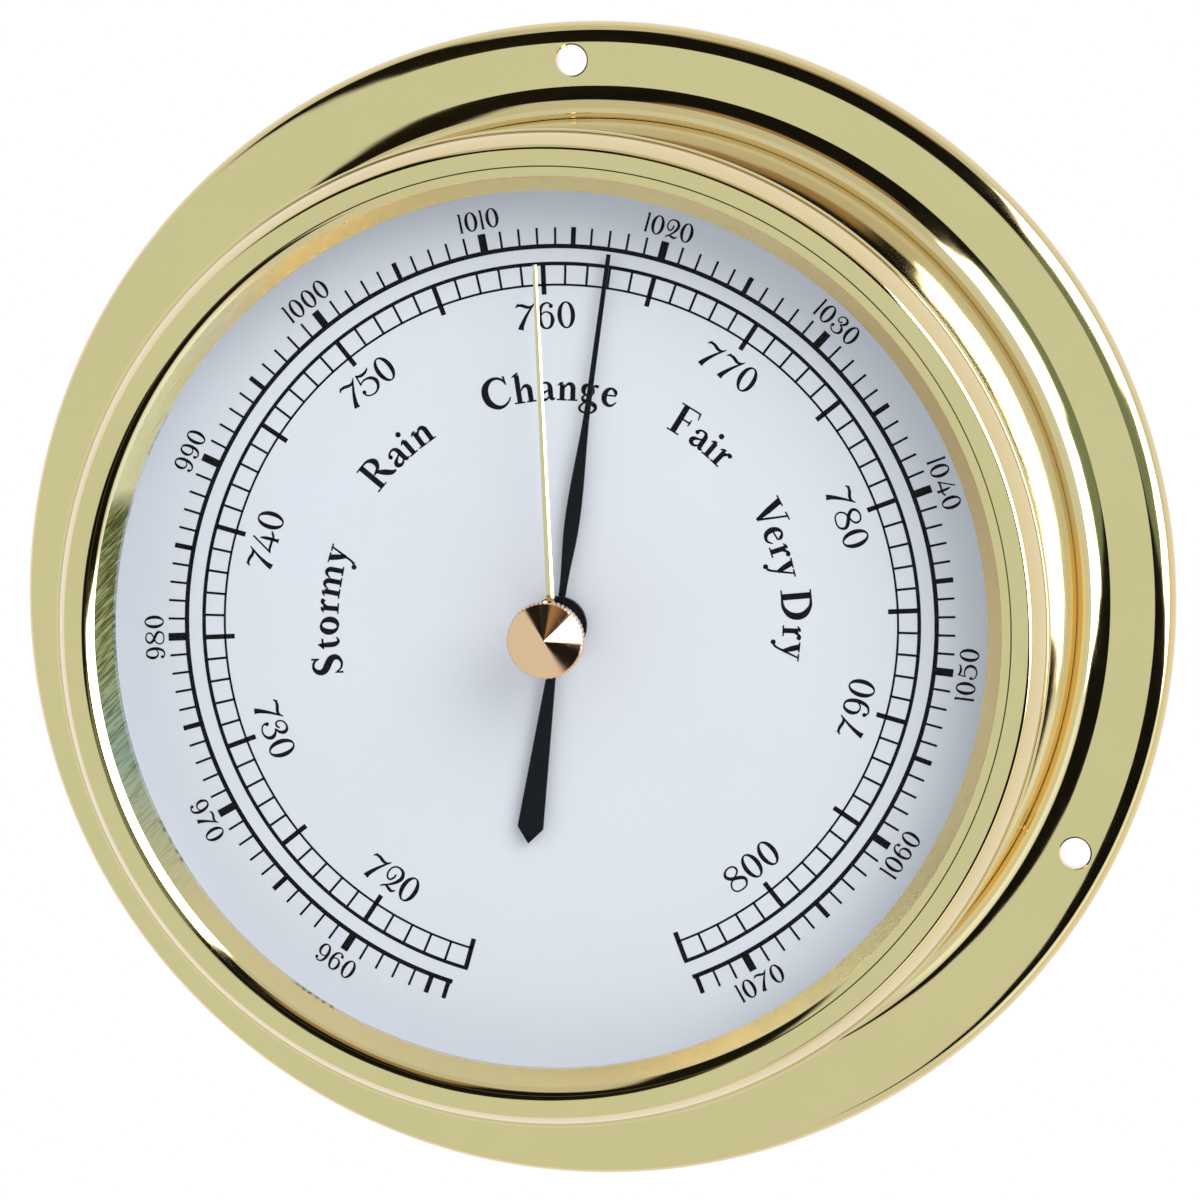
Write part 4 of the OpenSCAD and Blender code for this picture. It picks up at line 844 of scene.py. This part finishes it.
def dial_numbers():
    """A number at each ten, its foot to the centre on the upper dial and its top to it on the lower."""
    ink = Ink()
    for turn, style, numbered in ((hpa, HPA_NUMBERS, HPA_NUMBERED), (mmhg, MMHG_NUMBERS, MMHG_NUMBERED)):
        first, last, left, right = numbered
        for value in range(first, last + 1, 10):
            number(ink, str(value), turn(value), *style, value <= left or value >= right)
    printed(ink, "dial_number_print")


def dial_words():
    ink = Ink()
    for letter, clock in WORDS:
        width, form = LETTERS[letter]
        ink.glyph(form, on_dial(clock, WORD_R, False, WORD_UNIT, -width / 2, 0), WORD_SWELL / WORD_UNIT)
    printed(ink, "dial_word_print")


case()
lugs()
bezel()
knob()
hand()
capsule()
dial_scales()
dial_numbers()
dial_words()


# ---------------------------------------------------------------- studio
FLOOR = dict(radius=0.7, place=(0, -0.05, -0.32), fade=(0.35, 0.68), waves=9.0, dark=(0.86, 0.86, 0.87),
             light=(0.89, 0.89, 0.89))


def floor():
    """Pale disc under the object, which fades out to the white around it."""
    k = FLOOR
    bm = bmesh.new()
    bmesh.ops.create_circle(bm, cap_ends=True, segments=96, radius=k["radius"])
    mesh = bpy.data.meshes.new("floor")
    bm.to_mesh(mesh)
    bm.free()
    obj = bpy.data.objects.new("floor", mesh)
    obj.location = k["place"]
    bpy.context.scene.collection.objects.link(obj)
    mat, tree = begin("floor_pale")
    place = add(tree, "ShaderNodeTexCoord").outputs["Object"]
    away = add(tree, "ShaderNodeVectorMath", {0: place}, operation="LENGTH").outputs["Value"]
    fade = steep(tree, away, 0.0, 1.0, *k["fade"])
    pale = add(tree, "ShaderNodeBsdfDiffuse",
               {"Color": tones(tree, noise(tree, place, k["waves"]), k["dark"], k["light"])})
    clear = add(tree, "ShaderNodeBsdfTransparent")
    mix = add(tree, "ShaderNodeMixShader", {0: fade, 1: pale.outputs[0], 2: clear.outputs[0]})
    mesh.materials.append(close(mat, mix.outputs[0]))
    obj.visible_glossy = False


TENT = (0.80, 0.87, 0.86)
# Cards and soft boxes in the tent, as the metal sees them: direction round the front axis, half width and the near
# and far distance from that axis in degrees, and how much the far one shrinks per degree from the card's middle;
# softness of the sides and of the ends; colour. Later cards cover earlier ones
CARDS = [
    ((0, 180, 96, 180), (1, 3), (0.98, 0.99, 1.0)),
    ((205, 62, 0, 48), (6, 6), (0.77, 0.90, 0.84)),
    ((85, 42, 0, 62), (6, 6), (0.70, 0.74, 0.70)),
    ((320, 26, 30, 48), (6, 5), (1.15, 1.3, 1.4)),
    ((12, 34, 0, 60), (3, 2), (0.80, 0.92, 1.0)),
    ((336, 26, 74, 98), (6, 3), (1.05, 0.90, 0.50)),
    ((12, 34, 12.5, 33), (2, 1), (9.0, 9.0, 9.0)),
    ((12, 36, 2, 12.5), (3, 1), (0.22, 0.30, 0.22)),
    ((40, 24, 9.5, 14), (8, 0.8), (9.0, 9.0, 9.0)),
    ((306, 34, 4, 27), (2, 1), (0.008, 0.008, 0.008)),
    ((272, 60, 0, 27, 0.63), (3, 0.8), (0.785, 0.885, 0.85)),
    ((88, 42, 4, 24), (2, 1), (0.008, 0.008, 0.008)),
    ((128, 13, 5, 40), (3, 2), (0.012, 0.010, 0.006)),
    ((78, 19, 18, 25), (4, 1.5), (0.40, 0.29, 0.16)),
]
# Light on the dull surfaces: degrees from the front axis, strength at both, colour
FILL = dict(span=(15.0, 95.0), strength=(1.04, 0.31), colour=(0.95, 0.97, 1.0))
WHITE = (1.0, 1.0, 1.0)
TINY = 1e-9


def degrees(tree, cosine):
    return math_node(tree, "MULTIPLY", math_node(tree, "ARCCOSINE", cosine), 180 / math.pi)


def card_mask(tree, axes, away, flat, place, soft):
    """How much of a card lies in each direction, from 0 to 1."""
    middle, half, near, far, *lean = place
    soft_side, soft_end = soft
    mask, reach = 1.0, away
    if half < 180:
        a = math.radians(middle)
        along = math_node(tree, "ADD", math_node(tree, "MULTIPLY", axes[0], math.cos(a)),
                          math_node(tree, "MULTIPLY", axes[2], math.sin(a)))
        turn = degrees(tree, math_node(tree, "DIVIDE", along, flat))
        mask = steep(tree, turn, 0.0, 1.0, half + soft_side, half - soft_side)
        if lean:
            reach = math_node(tree, "MULTIPLY_ADD", turn, lean[0], away)
    if near > 0:
        mask = math_node(tree, "MULTIPLY", mask, steep(tree, away, 0.0, 1.0, near - soft_end, near + soft_end))
    return math_node(tree, "MULTIPLY", mask, steep(tree, reach, 0.0, 1.0, far + soft_end, far - soft_end))


def studio():
    """The metal sees the cards, the camera and the glass see white, and dull surfaces get the fill."""
    world = bpy.data.worlds.new("studio")
    bpy.context.scene.world = world
    world.use_nodes = True
    tree = world.node_tree
    tree.nodes.clear()
    axes = add(tree, "ShaderNodeSeparateXYZ",
               {"Vector": add(tree, "ShaderNodeTexCoord").outputs["Generated"]}).outputs
    away = degrees(tree, math_node(tree, "MULTIPLY", axes[1], -1.0))
    flat = math_node(tree, "SQRT", math_node(tree, "MAXIMUM", TINY, math_node(
        tree, "ADD", math_node(tree, "MULTIPLY", axes[0], axes[0]), math_node(tree, "MULTIPLY", axes[2], axes[2]))))
    shade = (*TENT, 1)
    for place, soft, colour in CARDS:
        mask = card_mask(tree, axes, away, flat, place, soft)
        shade = blended(tree, mask, shade, (*colour, 1), clamp_result=False)
    path = add(tree, "ShaderNodeLightPath").outputs
    through = math_node(tree, "MAXIMUM", path["Is Camera Ray"], path["Is Transmission Ray"])
    shown = math_node(tree, "MAXIMUM", through, path["Is Glossy Ray"])
    sight = blended(tree, through, shade, (*WHITE, 1), clamp_result=False)
    bright = add(tree, "ShaderNodeBackground", {"Color": sight, "Strength": 1.0})
    fill = steep(tree, away, *FILL["strength"], *FILL["span"])
    soft = add(tree, "ShaderNodeBackground", {"Color": (*FILL["colour"], 1), "Strength": fill})
    both = add(tree, "ShaderNodeMixShader", {0: shown, 1: soft.outputs[0], 2: bright.outputs[0]})
    add(tree, "ShaderNodeOutputWorld", {"Surface": both.outputs[0]})


LAMP = dict(place=(0.55, -0.75, 0.45), size=0.8, energy=4.4, colour=(1.0, 0.99, 0.97))


def lamp():
    """Soft box from the upper right, for the dial's shadows only."""
    data = bpy.data.lights.new("soft_box", "AREA")
    data.shape = "DISK"
    data.size = LAMP["size"]
    data.energy = LAMP["energy"]
    data.color = LAMP["colour"]
    obj = bpy.data.objects.new("soft_box", data)
    spot = Vector(LAMP["place"])
    obj.location = spot
    obj.rotation_mode = "QUATERNION"
    obj.rotation_quaternion = spot.to_track_quat("Z", "Y")
    obj.visible_glossy = False
    bpy.context.scene.collection.objects.link(obj)


# right and back are the directions of the camera's own axes
CAMERA = dict(lens=245.62, sensor=36.0, clip=(0.05, 20.0), place=(0.10696, -0.84195, 0.06171),
              right=(0.99139, 0.12237, -0.04652), back=(0.12554, -0.98943, 0.07261))


def camera():
    data = bpy.data.cameras.new("camera")
    data.lens = CAMERA["lens"]
    data.sensor_width = CAMERA["sensor"]
    data.clip_start, data.clip_end = CAMERA["clip"]
    obj = bpy.data.objects.new("camera", data)
    right = Vector(CAMERA["right"]).normalized()
    back = Vector(CAMERA["back"]).normalized()
    up = back.cross(right).normalized()
    place = Matrix((right, up, back)).transposed().to_4x4()
    place.translation = Vector(CAMERA["place"])
    obj.matrix_world = place
    bpy.context.scene.collection.objects.link(obj)
    bpy.context.scene.camera = obj


camera()
floor()
studio()
lamp()
bpy.context.scene.view_settings.view_transform = "Standard"
bpy.context.view_layer.update()
